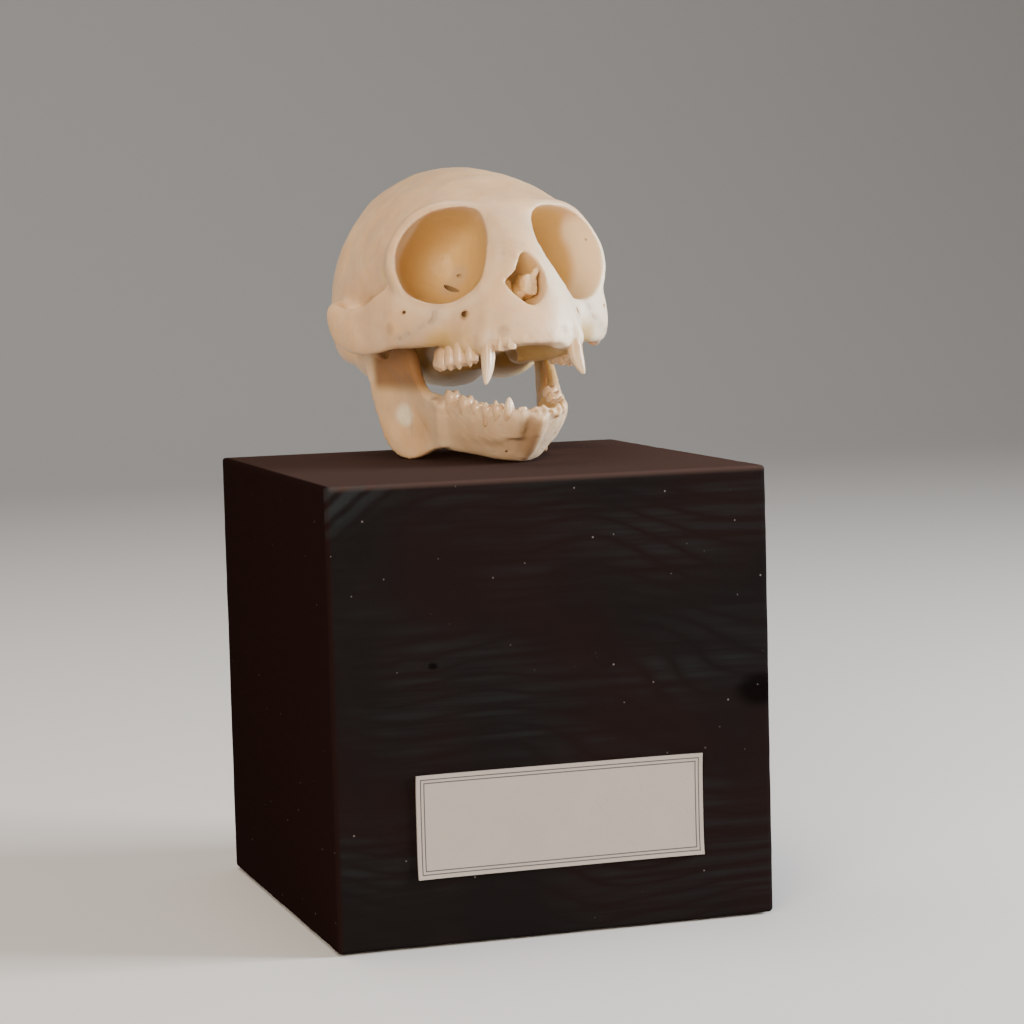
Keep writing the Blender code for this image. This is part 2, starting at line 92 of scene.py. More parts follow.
class Bench:
    """The modelling bench: adds primitives, shapes them and applies modifiers."""

    @staticmethod
    def alone(obj: bpy.types.Object) -> None:
        """Leave one object selected and active.

        Args:
            obj: the object to work on.
        """
        bpy.ops.object.select_all(action="DESELECT")
        obj.select_set(True)
        bpy.context.view_layer.objects.active = obj

    @staticmethod
    def named(name: str) -> bpy.types.Object:
        """Name the active object and its mesh.

        Args:
            name: the new name.

        Returns:
            The object.
        """
        obj = bpy.context.object
        obj.name = name
        obj.data.name = name
        return obj

    @classmethod
    def apply(cls, obj: bpy.types.Object, kind: str, **settings: object) -> None:
        """Add one modifier, set it and apply it.

        Args:
            obj: the object to change.
            kind: the modifier's type.
            settings: the modifier's values.
        """
        cls.alone(obj)
        modifier = obj.modifiers.new(kind.title(), kind)
        for key, value in settings.items():
            setattr(modifier, key, value)
        bpy.ops.object.modifier_apply(modifier=modifier.name)

    @classmethod
    def ball(cls, centre: Row, radii: Row, turn: Row = (0.0, 0.0, 0.0), segments: int = 36) -> bpy.types.Object:
        """Add an ellipsoid.

        Args:
            centre: its middle.
            radii: its three half sizes.
            turn: its turns about x, y and z in degrees.
            segments: how many faces run round it.

        Returns:
            The new object, with its place in its mesh.
        """
        bpy.ops.object.select_all(action="DESELECT")
        bpy.ops.mesh.primitive_uv_sphere_add(segments=segments, ring_count=segments // 2, radius=1.0,
                                             location=centre, scale=radii,
                                             rotation=[math.radians(angle) for angle in turn])
        obj = cls.named("ball")
        bpy.ops.object.transform_apply(location=True, rotation=True, scale=True)
        return obj

    @classmethod
    def skin(cls, rings: Sequence[Sequence[Vector]], name: str = "skin") -> bpy.types.Object:
        """Extrude a disc once for each ring and set its points on the rings.

        Args:
            rings: loops of equally many points, four or a multiple of it, in order.
            name: the new object's name.

        Returns:
            A closed object with a flat face at both ends.
        """
        count = len(rings[0])
        bpy.ops.object.select_all(action="DESELECT")
        bpy.ops.mesh.primitive_circle_add(vertices=count, radius=1.0, fill_type="NGON", location=(0, 0, 0))
        obj = cls.named(name)
        bpy.ops.object.mode_set(mode="EDIT")
        for _ in rings[1:]:
            bpy.ops.mesh.extrude_region_move(TRANSFORM_OT_translate={"value": (0.0, 0.0, 1.0)})
        bpy.ops.object.mode_set(mode="OBJECT")
        for vert in obj.data.vertices:
            turn = round(math.atan2(vert.co.y, vert.co.x) * count / (2.0 * math.pi)) % count
            vert.co = rings[round(vert.co.z)][turn]
        cls.face_outward(obj)
        return obj

    @classmethod
    def face_outward(cls, obj: bpy.types.Object) -> None:
        """Turn all faces of a closed object outward.

        Args:
            obj: the object to mend.
        """
        cls.alone(obj)
        bpy.ops.object.mode_set(mode="EDIT")
        bpy.ops.mesh.select_all(action="SELECT")
        bpy.ops.mesh.normals_make_consistent(inside=False)
        bpy.ops.object.mode_set(mode="OBJECT")

    @staticmethod
    def subdivide(cuts: int) -> None:
        """Cut every face of the active object into a grid.

        Args:
            cuts: how many cuts are made across each face.
        """
        bpy.ops.object.mode_set(mode="EDIT")
        bpy.ops.mesh.select_all(action="SELECT")
        bpy.ops.mesh.subdivide(number_cuts=cuts)
        bpy.ops.object.mode_set(mode="OBJECT")

    @classmethod
    def join(cls, name: str, parts: Sequence[bpy.types.Object]) -> bpy.types.Object:
        """Join objects into one.

        Args:
            name: the name of the result.
            parts: the objects, which are used up.

        Returns:
            The joined object.
        """
        cls.alone(parts[0])
        for part in parts:
            part.select_set(True)
        if len(parts) > 1:
            bpy.ops.object.join()
        return cls.named(name)

    @classmethod
    def fuse(cls, name: str, parts: Sequence[bpy.types.Object], voxel: float, rounds: int) -> bpy.types.Object:
        """Melt overlapping forms into one surface and ease its joins.

        Args:
            name: the name of the result.
            parts: closed overlapping objects.
            voxel: the size of the new faces.
            rounds: how often the surface is smoothed.

        Returns:
            The fused object.
        """
        obj = cls.join(name, parts)
        cls.apply(obj, "REMESH", mode="VOXEL", voxel_size=voxel)
        cls.apply(obj, "SMOOTH", factor=0.5, iterations=rounds)
        return obj

    @classmethod
    def carve(cls, obj: bpy.types.Object, cutters: Sequence[bpy.types.Object]) -> None:
        """Cut a group of closed objects out of another.

        Args:
            obj: the object that is cut.
            cutters: the closed objects to cut with, which are used up.
        """
        group = bpy.data.collections.new("cutters")
        bpy.context.scene.collection.children.link(group)
        for cutter in cutters:
            for home in list(cutter.users_collection):
                home.objects.unlink(cutter)
            group.objects.link(cutter)
        cls.apply(obj, "BOOLEAN", operation="DIFFERENCE", operand_type="COLLECTION", collection=group,
                  solver="MANIFOLD")
        for cutter in list(group.objects):
            bpy.data.objects.remove(cutter, do_unlink=True)
        bpy.data.collections.remove(group)

    @classmethod
    def keep_largest(cls, obj: bpy.types.Object) -> None:
        """Drop every loose surface but the largest.

        Args:
            obj: the object to clean.
        """
        cls.alone(obj)
        bpy.ops.object.mode_set(mode="EDIT")
        bpy.ops.mesh.separate(type="LOOSE")
        bpy.ops.object.mode_set(mode="OBJECT")
        shells = sorted(bpy.context.selected_objects, key=lambda o: len(o.data.polygons))
        for shell in shells[:-1]:
            if shell is not obj:
                bpy.data.objects.remove(shell, do_unlink=True)
        if shells and shells[-1] is not obj:
            obj.data = shells[-1].data
            bpy.data.objects.remove(shells[-1], do_unlink=True)

    @staticmethod
    def points(obj: bpy.types.Object) -> np.ndarray:
        """Return the object's points as an array of rows."""
        flat = np.empty(len(obj.data.vertices) * 3, dtype=np.float32)
        obj.data.vertices.foreach_get("co", flat)
        return flat.reshape(-1, 3).astype(float)

    @staticmethod
    def normals(obj: bpy.types.Object) -> np.ndarray:
        """Return the normals of the object's points as an array of rows."""
        flat = np.empty(len(obj.data.vertices) * 3, dtype=np.float32)
        obj.data.vertex_normals.foreach_get("vector", flat)
        return flat.reshape(-1, 3).astype(float)

    @staticmethod
    def set_points(obj: bpy.types.Object, rows: np.ndarray) -> None:
        """Move the object's points to the given rows."""
        obj.data.vertices.foreach_set("co", rows.astype(np.float32).ravel())
        obj.data.update()


class Draft:
    """Drawing aids: smooth curves through a few sizes, and rings for skins."""

    @staticmethod
    def between(rows: Sequence[Row], steps: int) -> np.ndarray:
        """Lay a smooth curve through rows of numbers.

        Args:
            rows: the rows that the curve passes.
            steps: how many rows stand for each gap.

        Returns:
            The dense rows.
        """
        table = np.array(rows, dtype=float)
        padded = np.vstack([2 * table[0] - table[1], table, 2 * table[-1] - table[-2]])
        dense = []
        for k in range(len(table) - 1):
            a, b, c, d = padded[k:k + 4]
            for t in np.linspace(0.0, 1.0, steps, endpoint=False):
                cubic = (2 * a - 5 * b + 4 * c - d) * t * t + (3 * b - 3 * c + d - a) * t ** 3
                dense.append(b + 0.5 * (c - a) * t + 0.5 * cubic)
        dense.append(table[-1])
        return np.array(dense)

    @staticmethod
    def around(count: int, power: float) -> list[tuple[float, float]]:
        """Return the cosines and sines of a squared off circle.

        Args:
            count: how many points it has.
            power: 2 for a circle, more for a squarer one.

        Returns:
            The pairs, in order.
        """
        pairs = []
        for n in range(count):
            angle = 2.0 * math.pi * n / count
            cos, sin = math.cos(angle), math.sin(angle)
            pairs.append((math.copysign(abs(cos) ** (2.0 / power), cos),
                          math.copysign(abs(sin) ** (2.0 / power), sin)))
        return pairs

    @classmethod
    def outline(cls, radii: Row, extra: float = 0.0, steps: int = 5) -> np.ndarray:
        """Return the closed outline through radii set at equal angles.

        Args:
            radii: the radii, anticlockwise from the side.
            extra: what is added to each.
            steps: points for each radius.

        Returns:
            The outline's pairs of sizes across and up.
        """
        corners = []
        for n in range(-1, len(radii) + 2):
            angle = 2.0 * math.pi * n / len(radii)
            reach = radii[n % len(radii)] + extra
            corners.append((reach * math.cos(angle), reach * math.sin(angle)))
        return cls.between(corners, steps)[steps:-steps - 1]

    @staticmethod
    def axes(inward: Row, side: float) -> tuple[Vector, Vector, Vector]:
        """Return the directions ahead, across to the given side, and up, for a tube.

        Args:
            inward: the way that the tube runs.
            side: the sign of x that across points to.

        Returns:
            The three unit directions.
        """
        ahead = Vector(inward).normalized()
        across = ahead.cross(Vector((0.0, 0.0, 1.0))).normalized()
        if across.x * side < 0:
            across.negate()
        upward = across.cross(ahead)
        if upward.z < 0:
            upward.negate()
        return ahead, across, upward

    @classmethod
    def hull(cls, rows: Sequence[Row], steps: int = 4, segments: int = 56,
             power: float = 2.1) -> bpy.types.Object:
        """Skin a form from front to back.

        Args:
            rows: y, level, half width, rise above and drop below the level.
            steps: rings for each gap between rows.
            segments: points in each ring.
            power: how square the rings are.

        Returns:
            The closed form.
        """
        rings = []
        for y, level, across, rise, drop in cls.between(rows, steps):
            rings.append([Vector((across * c, y, level + (rise if s > 0 else drop) * s))
                          for c, s in cls.around(segments, power)])
        return Bench.skin(rings, "hull")

    @classmethod
    def stack(cls, rows: Sequence[Row], steps: int = 4, segments: int = 56,
              power: float = 2.3) -> bpy.types.Object:
        """Skin a form from below upward.

        Args:
            rows: height, middle y, half width, reach forward and back.
            steps: rings for each gap between rows.
            segments: points in each ring.
            power: how square the rings are.

        Returns:
            The closed form.
        """
        rings = []
        for z, middle, across, forward, back in cls.between(rows, steps):
            rings.append([Vector((across * c, middle + (back if s > 0 else forward) * s, z))
                          for c, s in cls.around(segments, power)])
        return Bench.skin(rings, "stack")

    @classmethod
    def strut(cls, rows: Sequence[Row], side: float = 1.0, steps: int = 5, segments: int = 20,
              power: float = 2.3) -> bpy.types.Object:
        """Skin a tube along a path.

        Args:
            rows: x, y, z, half width across and half height.
            side: the sign that x is multiplied by.
            steps: rings for each gap between rows.
            segments: points in each ring.
            power: how square the rings are.

        Returns:
            The closed tube.
        """
        table = cls.between([(side * row[0], *row[1:]) for row in rows], steps)
        path = table[:, :3]
        rings = []
        for k, (centre, across, height) in enumerate(zip(path, table[:, 3], table[:, 4])):
            ahead = Vector(path[min(k + 1, len(path) - 1)] - path[max(k - 1, 0)]).normalized()
            beside = ahead.cross(Vector((0.0, 0.0, 1.0))).normalized()
            upward = beside.cross(ahead)
            rings.append([Vector(centre) + beside * across * c + upward * height * s
                          for c, s in cls.around(segments, power)])
        return Bench.skin(rings, "strut")

    @classmethod
    def pit(cls, centre: Row, inward: Row, depths: Sequence[tuple[float, float]], radii: Row,
            side: float) -> bpy.types.Object:
        """Skin a cutter that narrows inward.

        Args:
            centre: the middle of its mouth.
            inward: the way that it runs.
            depths: pairs of depth and width factor.
            radii: the mouth's radii at equal angles.
            side: the sign of x that the first radius points to.

        Returns:
            The closed cutter.
        """
        ahead, across, upward = cls.axes(inward, side)
        edge = cls.outline(radii)
        rings = [[Vector(centre) + ahead * depth + across * a * factor + upward * b * factor for a, b in edge]
                 for depth, factor in depths]
        return Bench.skin(rings, "pit")

    @staticmethod
    def bowl(depth: float, lead: float) -> list[tuple[float, float]]:
        """Return the depths and width factors of a round bottomed pit with a straight lead in."""
        rows = [(-lead, 1.06), (-0.5 * lead, 1.02), (0.0, 1.0)]
        for k in range(1, 9):
            angle = 0.5 * math.pi * k / 8.5
            rows.append((depth * math.sin(angle), max(math.cos(angle) ** 0.8, 0.05)))
        return rows

    @staticmethod
    def canal(start: Row, end: Row, wide: float, side: float = 1.0) -> bpy.types.Object:
        """Add a small round hole between two points.

        Args:
            start: the hole's mouth, outside the bone.
            end: its bottom.
            wide: its radius.
            side: the sign that x is multiplied by.

        Returns:
            A closed cone that narrows a little inward.
        """
        mouth = Vector((side * start[0], *start[1:]))
        bottom = Vector((side * end[0], *end[1:]))
        ahead = bottom - mouth
        bpy.ops.object.select_all(action="DESELECT")
        bpy.ops.mesh.primitive_cone_add(vertices=16, radius1=wide * 1.15, radius2=wide * 0.7,
                                        depth=ahead.length, location=(mouth + bottom) / 2,
                                        rotation=ahead.to_track_quat("Z", "Y").to_euler())
        bpy.ops.object.transform_apply(location=True, rotation=True, scale=True)
        return Bench.named("canal")


@dataclass(frozen=True)
class Pose:
    """Where a bone stands over the block."""

    place: tuple[float, float, float]
    yaw: float
    pitch: float = 0.0

    def matrix(self) -> Matrix:
        """Return the turn and place in millimetres."""
        turn = Matrix.Rotation(math.radians(self.yaw), 4, "Z")
        return Matrix.Translation(self.place) @ turn @ Matrix.Rotation(-math.radians(self.pitch), 4, "X")

    def settle(self, obj: bpy.types.Object) -> None:
        """Turn a finished object into its pose and scale it to metres.

        Args:
            obj: the object, modelled in millimetres.
        """
        obj.data.transform(Matrix.Scale(MM, 4) @ self.matrix())
        obj.data.update()


def smooth_step(low: float, high: float, value: np.ndarray) -> np.ndarray:
    """Ease from 0 at low to 1 at high.

    Args:
        low: where the result is 0.
        high: where it is 1.
        value: the numbers to map.

    Returns:
        The eased numbers.
    """
    share = np.clip((value - low) / (high - low), 0.0, 1.0)
    return share * share * (3.0 - 2.0 * share)


def ripple(rows: np.ndarray, size: float, seed: float = 0.0) -> np.ndarray:
    """Return smooth noise between -1 and 1 at each row.

    Args:
        rows: points.
        size: how wide its waves are.
        seed: a shift that gives another pattern.

    Returns:
        One number for each point.
    """
    return np.array([noise.noise(Vector(row / size) + Vector((seed, seed * 0.7, -seed))) for row in rows])


def near_path(rows: np.ndarray, path: Sequence[Row]) -> np.ndarray:
    """Return each point's distance to a line through a few points.

    Args:
        rows: the points.
        path: the line's points.

    Returns:
        One distance for each point.
    """
    best = np.full(len(rows), np.inf)
    corners = np.array(path, dtype=float)
    for a, b in zip(corners, corners[1:]):
        span = b - a
        share = np.clip((rows - a) @ span / (span @ span), 0.0, 1.0)
        best = np.minimum(best, np.linalg.norm(rows - a - share[:, None] * span, axis=1))
    return best


def ridge(rows: np.ndarray, path: Sequence[Row], wide: float) -> np.ndarray:
    """Return a bell shaped mask round a line through a few points.

    Args:
        rows: the points to mask.
        path: the line's points.
        wide: how far away the mask has fallen to about a third.

    Returns:
        One number from 0 to 1 for each point.
    """
    return np.exp(-(near_path(rows, path) / wide) ** 2)


def to_left(rows: np.ndarray) -> np.ndarray:
    """Return a copy of the points with those of the right side mirrored to the left."""
    folded = rows.copy()
    folded[:, 0] = np.abs(folded[:, 0])
    return folded


@dataclass
class Tone:
    """Colour masks of a bone, one number for each of its points."""

    # The first mask paints shade in ochre, the second holds brown stains together with painted shade, the third
    # paints light in pale cream, the fourth marks seams.
    painted_shade: np.ndarray
    stain_and_shade: np.ndarray
    pale_and_lit: np.ndarray
    seam: np.ndarray

    def store(self, mesh: bpy.types.Mesh) -> None:
        """Write the masks to the mesh as one colour attribute.

        Args:
            mesh: the mesh that takes them.
        """
        layer = mesh.color_attributes.new("tone", "FLOAT_COLOR", "POINT")
        table = np.stack([self.painted_shade, self.stain_and_shade, self.pale_and_lit, self.seam], axis=1)
        layer.data.foreach_set("color", np.clip(table, 0.0, 1.0).astype(np.float32).ravel())


class NodeSheet:
    """A material's or group's node tree, with short ways to add and link nodes."""

    def __init__(self, tree: bpy.types.NodeTree) -> None:
        """Keep the tree.

        Args:
            tree: the tree that nodes are added to.
        """
        self.tree = tree

    def add(self, kind: str, **settings: object) -> bpy.types.Node:
        """Add a node and set its properties.

        Args:
            kind: the node's type without its prefix.
            settings: properties by name.

        Returns:
            The new node.
        """
        node = self.tree.nodes.new("ShaderNode" + kind)
        for key, value in settings.items():
            setattr(node, key, value)
        return node

    def feed(self, socket: bpy.types.NodeSocket, value: object) -> None:
        """Link a socket, or set its value.

        Args:
            socket: the input.
            value: another node's output, a plain number or a colour.
        """
        if isinstance(value, bpy.types.NodeSocket):
            self.tree.links.new(value, socket)
        elif isinstance(value, tuple) and len(value) == 3:
            socket.default_value = (*value, 1.0)
        else:
            socket.default_value = value

    def maths(self, operation: str, a: object, b: object = 0.0) -> bpy.types.NodeSocket:
        """Add a sum of two numbers.

        Args:
            operation: the kind of sum.
            a: the first number or output.
            b: the second.

        Returns:
            The result's output.
        """
        node = self.add("Math", operation=operation)
        self.feed(node.inputs[0], a)
        self.feed(node.inputs[1], b)
        return node.outputs[0]

    def times(self, a: object, b: object) -> bpy.types.NodeSocket:
        """Return the output of a times b."""
        return self.maths("MULTIPLY", a, b)

    def plus(self, a: object, b: object) -> bpy.types.NodeSocket:
        """Return the output of a plus b."""
        return self.maths("ADD", a, b)

    def rest(self, value: object) -> bpy.types.NodeSocket:
        """Return the output of 1 less the value."""
        return self.maths("SUBTRACT", 1.0, value)

    def mix(self, share: object, a: object, b: object) -> bpy.types.NodeSocket:
        """Mix two colours.

        Args:
            share: how much of the second.
            a: the first colour or output.
            b: the second.

        Returns:
            The mixed colour's output.
        """
        node = self.add("Mix", data_type="RGBA")
        self.feed(node.inputs[0], share)
        self.feed(node.inputs[6], a)
        self.feed(node.inputs[7], b)
        return node.outputs[2]

    def ramp(self, value: object, low: float, high: float) -> bpy.types.NodeSocket:
        """Map a number to 0 to 1 between two limits.

        Args:
            value: the number's output.
            low: what becomes 0.
            high: what becomes 1.

        Returns:
            The mapped number's output.
        """
        node = self.add("MapRange", interpolation_type="SMOOTHSTEP")
        self.feed(node.inputs["Value"], value)
        node.inputs["From Min"].default_value = low
        node.inputs["From Max"].default_value = high
        return node.outputs["Result"]

    def noise(self, scale: object, detail: float, stretch: Row = (1.0, 1.0, 1.0),
              vector: Optional[bpy.types.NodeSocket] = None) -> bpy.types.NodeSocket:
        """Add noise on the object's own coordinates.

        Args:
            scale: the noise's scale.
            detail: its fineness.
            stretch: factors along x, y and z.
            vector: other coordinates to use.

        Returns:
            The noise's value.
        """
        place = vector or self.add("TexCoord").outputs["Object"]
        mapping = self.add("Mapping")
        mapping.inputs["Scale"].default_value = stretch
        self.feed(mapping.inputs["Vector"], place)
        node = self.add("TexNoise")
        self.feed(node.inputs["Vector"], mapping.outputs[0])
        self.feed(node.inputs["Scale"], scale)
        node.inputs["Detail"].default_value = detail
        return node.outputs["Fac"]


class Effects:
    """The shader groups that more than one finish uses."""

    def __init__(self) -> None:
        """Build the groups."""
        self.mottle = self._mottle()
        self.pores = self._pores()

    @staticmethod
    def _group(name: str, inputs: dict[str, object],
               outputs: dict[str, str]) -> tuple[bpy.types.NodeTree, NodeSheet]:
        """Start a group with named sockets.

        Args:
            name: the group's name.
            inputs: default values by name.
            outputs: socket types by name.

        Returns:
            The group and a sheet to fill it.
        """
        tree = bpy.data.node_groups.new(name, "ShaderNodeTree")
        for label, value in inputs.items():
            kind = "NodeSocketColor" if isinstance(value, tuple) else "NodeSocketFloat"
            socket = tree.interface.new_socket(label, in_out="INPUT", socket_type=kind)
            socket.default_value = value
        for label, kind in outputs.items():
            tree.interface.new_socket(label, in_out="OUTPUT", socket_type=kind)
        return tree, NodeSheet(tree)

    def _mottle(self) -> bpy.types.NodeTree:
        """Build the group that clouds one colour softly with another.

        Returns:
            The group.
        """
        tree, sheet = self._group("mottle", {"Base": (0.8, 0.8, 0.8, 1.0), "Cloud": (0.6, 0.6, 0.6, 1.0),
                                             "Scale": 200.0, "Amount": 0.5}, {"Color": "NodeSocketColor"})
        given = tree.nodes.new("NodeGroupInput")
        result = tree.nodes.new("NodeGroupOutput")
        wide = sheet.noise(given.outputs["Scale"], 5.0)
        share = sheet.times(sheet.ramp(wide, 0.35, 0.7), given.outputs["Amount"])
        sheet.feed(result.inputs["Color"], sheet.mix(share, given.outputs["Base"], given.outputs["Cloud"]))
        return tree

    def _pores(self) -> bpy.types.NodeTree:
        """Build the group of fine pores and ripples, as a height.

        Returns:
            The group.
        """
        tree, sheet = self._group("pores", {"Scale": 900.0, "Depth": 1.0}, {"Height": "NodeSocketFloat"})
        given = tree.nodes.new("NodeGroupInput")
        result = tree.nodes.new("NodeGroupOutput")
        fine = sheet.noise(given.outputs["Scale"], 8.0)
        pits = sheet.ramp(fine, 0.28, 0.42)
        height = sheet.plus(sheet.times(pits, 0.6), sheet.times(fine, 0.4))
        sheet.feed(result.inputs["Height"], sheet.times(height, given.outputs["Depth"]))
        return tree

    def place(self, sheet: NodeSheet, tree: bpy.types.NodeTree, **values: object) -> bpy.types.Node:
        """Put a group in a material.

        Args:
            sheet: the material's sheet.
            tree: the group.
            values: values or outputs for its inputs, by name.

        Returns:
            The group node.
        """
        node = sheet.add("Group", node_tree=tree)
        for label, value in values.items():
            sheet.feed(node.inputs[label.title()], value)
        return node


@dataclass(frozen=True)
class Finish:
    """What all finishes share: a name, a colour and a roughness."""

    name: str
    colour: Colour
    roughness: float

    def start(self) -> tuple[bpy.types.Material, NodeSheet, bpy.types.Node]:
        """Make the material with its plain values.

        Returns:
            The material, its sheet and its shader.
        """
        material = bpy.data.materials.new(self.name)
        material.use_nodes = True
        shader = material.node_tree.nodes["Principled BSDF"]
        sheet = NodeSheet(material.node_tree)
        sheet.feed(shader.inputs["Base Color"], self.colour)
        shader.inputs["Roughness"].default_value = self.roughness
        return material, sheet, shader

    @staticmethod
    def bump(sheet: NodeSheet, shader: bpy.types.Node, height: bpy.types.NodeSocket, deep: float) -> None:
        """Roughen the surface by a height.

        Args:
            sheet: the material's sheet.
            shader: its shader.
            height: the height's output.
            deep: how deep it is, in metres.
        """
        node = sheet.add("Bump")
        node.inputs["Distance"].default_value = deep
        node.inputs["Strength"].default_value = 1.0
        sheet.feed(node.inputs["Height"], height)
        sheet.feed(shader.inputs["Normal"], node.outputs["Normal"])


@dataclass(frozen=True)
class BoneFinish(Finish):
    """Dry cream bone with brown stains and grey seams; painted shade in ochre in its hollows and under it, also
    added to the brown, and painted light in pale cream on its lit faces.
    """

    cloud: Colour = (0.57, 0.335, 0.165)
    painted_shade: Colour = (0.60, 0.395, 0.14)
    stain_and_shade: Colour = (0.21, 0.092, 0.033)
    pale_and_lit: Colour = (0.85, 0.725, 0.54)
    seam: Colour = (0.42, 0.32, 0.24)
    dusk: Colour = (0.43, 0.325, 0.25)

    def make(self, effects: Effects) -> bpy.types.Material:
        """Build the material.

        Args:
            effects: the shared groups.

        Returns:
            The material.
        """
        material, sheet, shader = self.start()
        tone = sheet.add("Attribute", attribute_name="tone")
        split = sheet.add("SeparateColor")
        sheet.feed(split.inputs[0], tone.outputs["Color"])
        base = effects.place(sheet, effects.mottle, base=self.colour, cloud=self.cloud,
                             scale=130.0, amount=0.55).outputs["Color"]
        base = effects.place(sheet, effects.mottle, base=base, cloud=self.pale_and_lit,
                             scale=420.0, amount=0.14).outputs["Color"]
        base = effects.place(sheet, effects.mottle, base=base, cloud=self.dusk,
                             scale=230.0, amount=0.34).outputs["Color"]
        # Painted light: pale cream mixed in by the third mask, on lit faces and rims and in glowing thin spots.
        base = sheet.mix(split.outputs["Blue"], base, self.pale_and_lit)
        # Painted shade: ochre mixed in by the first mask, in the hollows and under the bone.
        base = sheet.mix(split.outputs["Red"], base, self.painted_shade)
        base = sheet.mix(tone.outputs["Alpha"], base, self.seam)
        # Brown mixed in by the second mask: real stains, and painted shade under the bone and the cheek arches.
        base = sheet.mix(split.outputs["Green"], base, self.stain_and_shade)
        sheet.feed(shader.inputs["Base Color"], base)
        rough = sheet.noise(500.0, 4.0)
        sheet.feed(shader.inputs["Roughness"], sheet.plus(sheet.times(rough, 0.22),
                                                           self.roughness - 0.11))
        shader.inputs["Subsurface Weight"].default_value = 0.25
        shader.inputs["Subsurface Radius"].default_value = (1.0, 0.55, 0.3)
        shader.inputs["Subsurface Scale"].default_value = 0.0012
        shader.inputs["Specular IOR Level"].default_value = 0.45
        pores = effects.place(sheet, effects.pores, scale=1500.0, depth=1.0)
        self.bump(sheet, shader, pores.outputs["Height"], 0.00004)
        return material


@dataclass(frozen=True)
class EnamelFinish(Finish):
    """Glossy off-white enamel, warmer towards the root."""

    cloud: Colour = (0.64, 0.41, 0.225)

    def make(self, effects: Effects) -> bpy.types.Material:
        """Build the material.

        Args:
            effects: the shared groups.

        Returns:
            The material.
        """
        material, sheet, shader = self.start()
        tone = sheet.add("Attribute", attribute_name="tone")
        split = sheet.add("SeparateColor")
        sheet.feed(split.inputs[0], tone.outputs["Color"])
        base = effects.place(sheet, effects.mottle, base=self.colour, cloud=self.cloud,
                             scale=600.0, amount=0.4).outputs["Color"]
        base = sheet.mix(split.outputs["Green"], base, self.cloud)
        sheet.feed(shader.inputs["Base Color"], base)
        shader.inputs["Subsurface Weight"].default_value = 0.2
        shader.inputs["Subsurface Radius"].default_value = (1.0, 0.7, 0.5)
        shader.inputs["Subsurface Scale"].default_value = 0.0006
        shader.inputs["Coat Weight"].default_value = 0.35
        shader.inputs["Coat Roughness"].default_value = 0.18
        return material


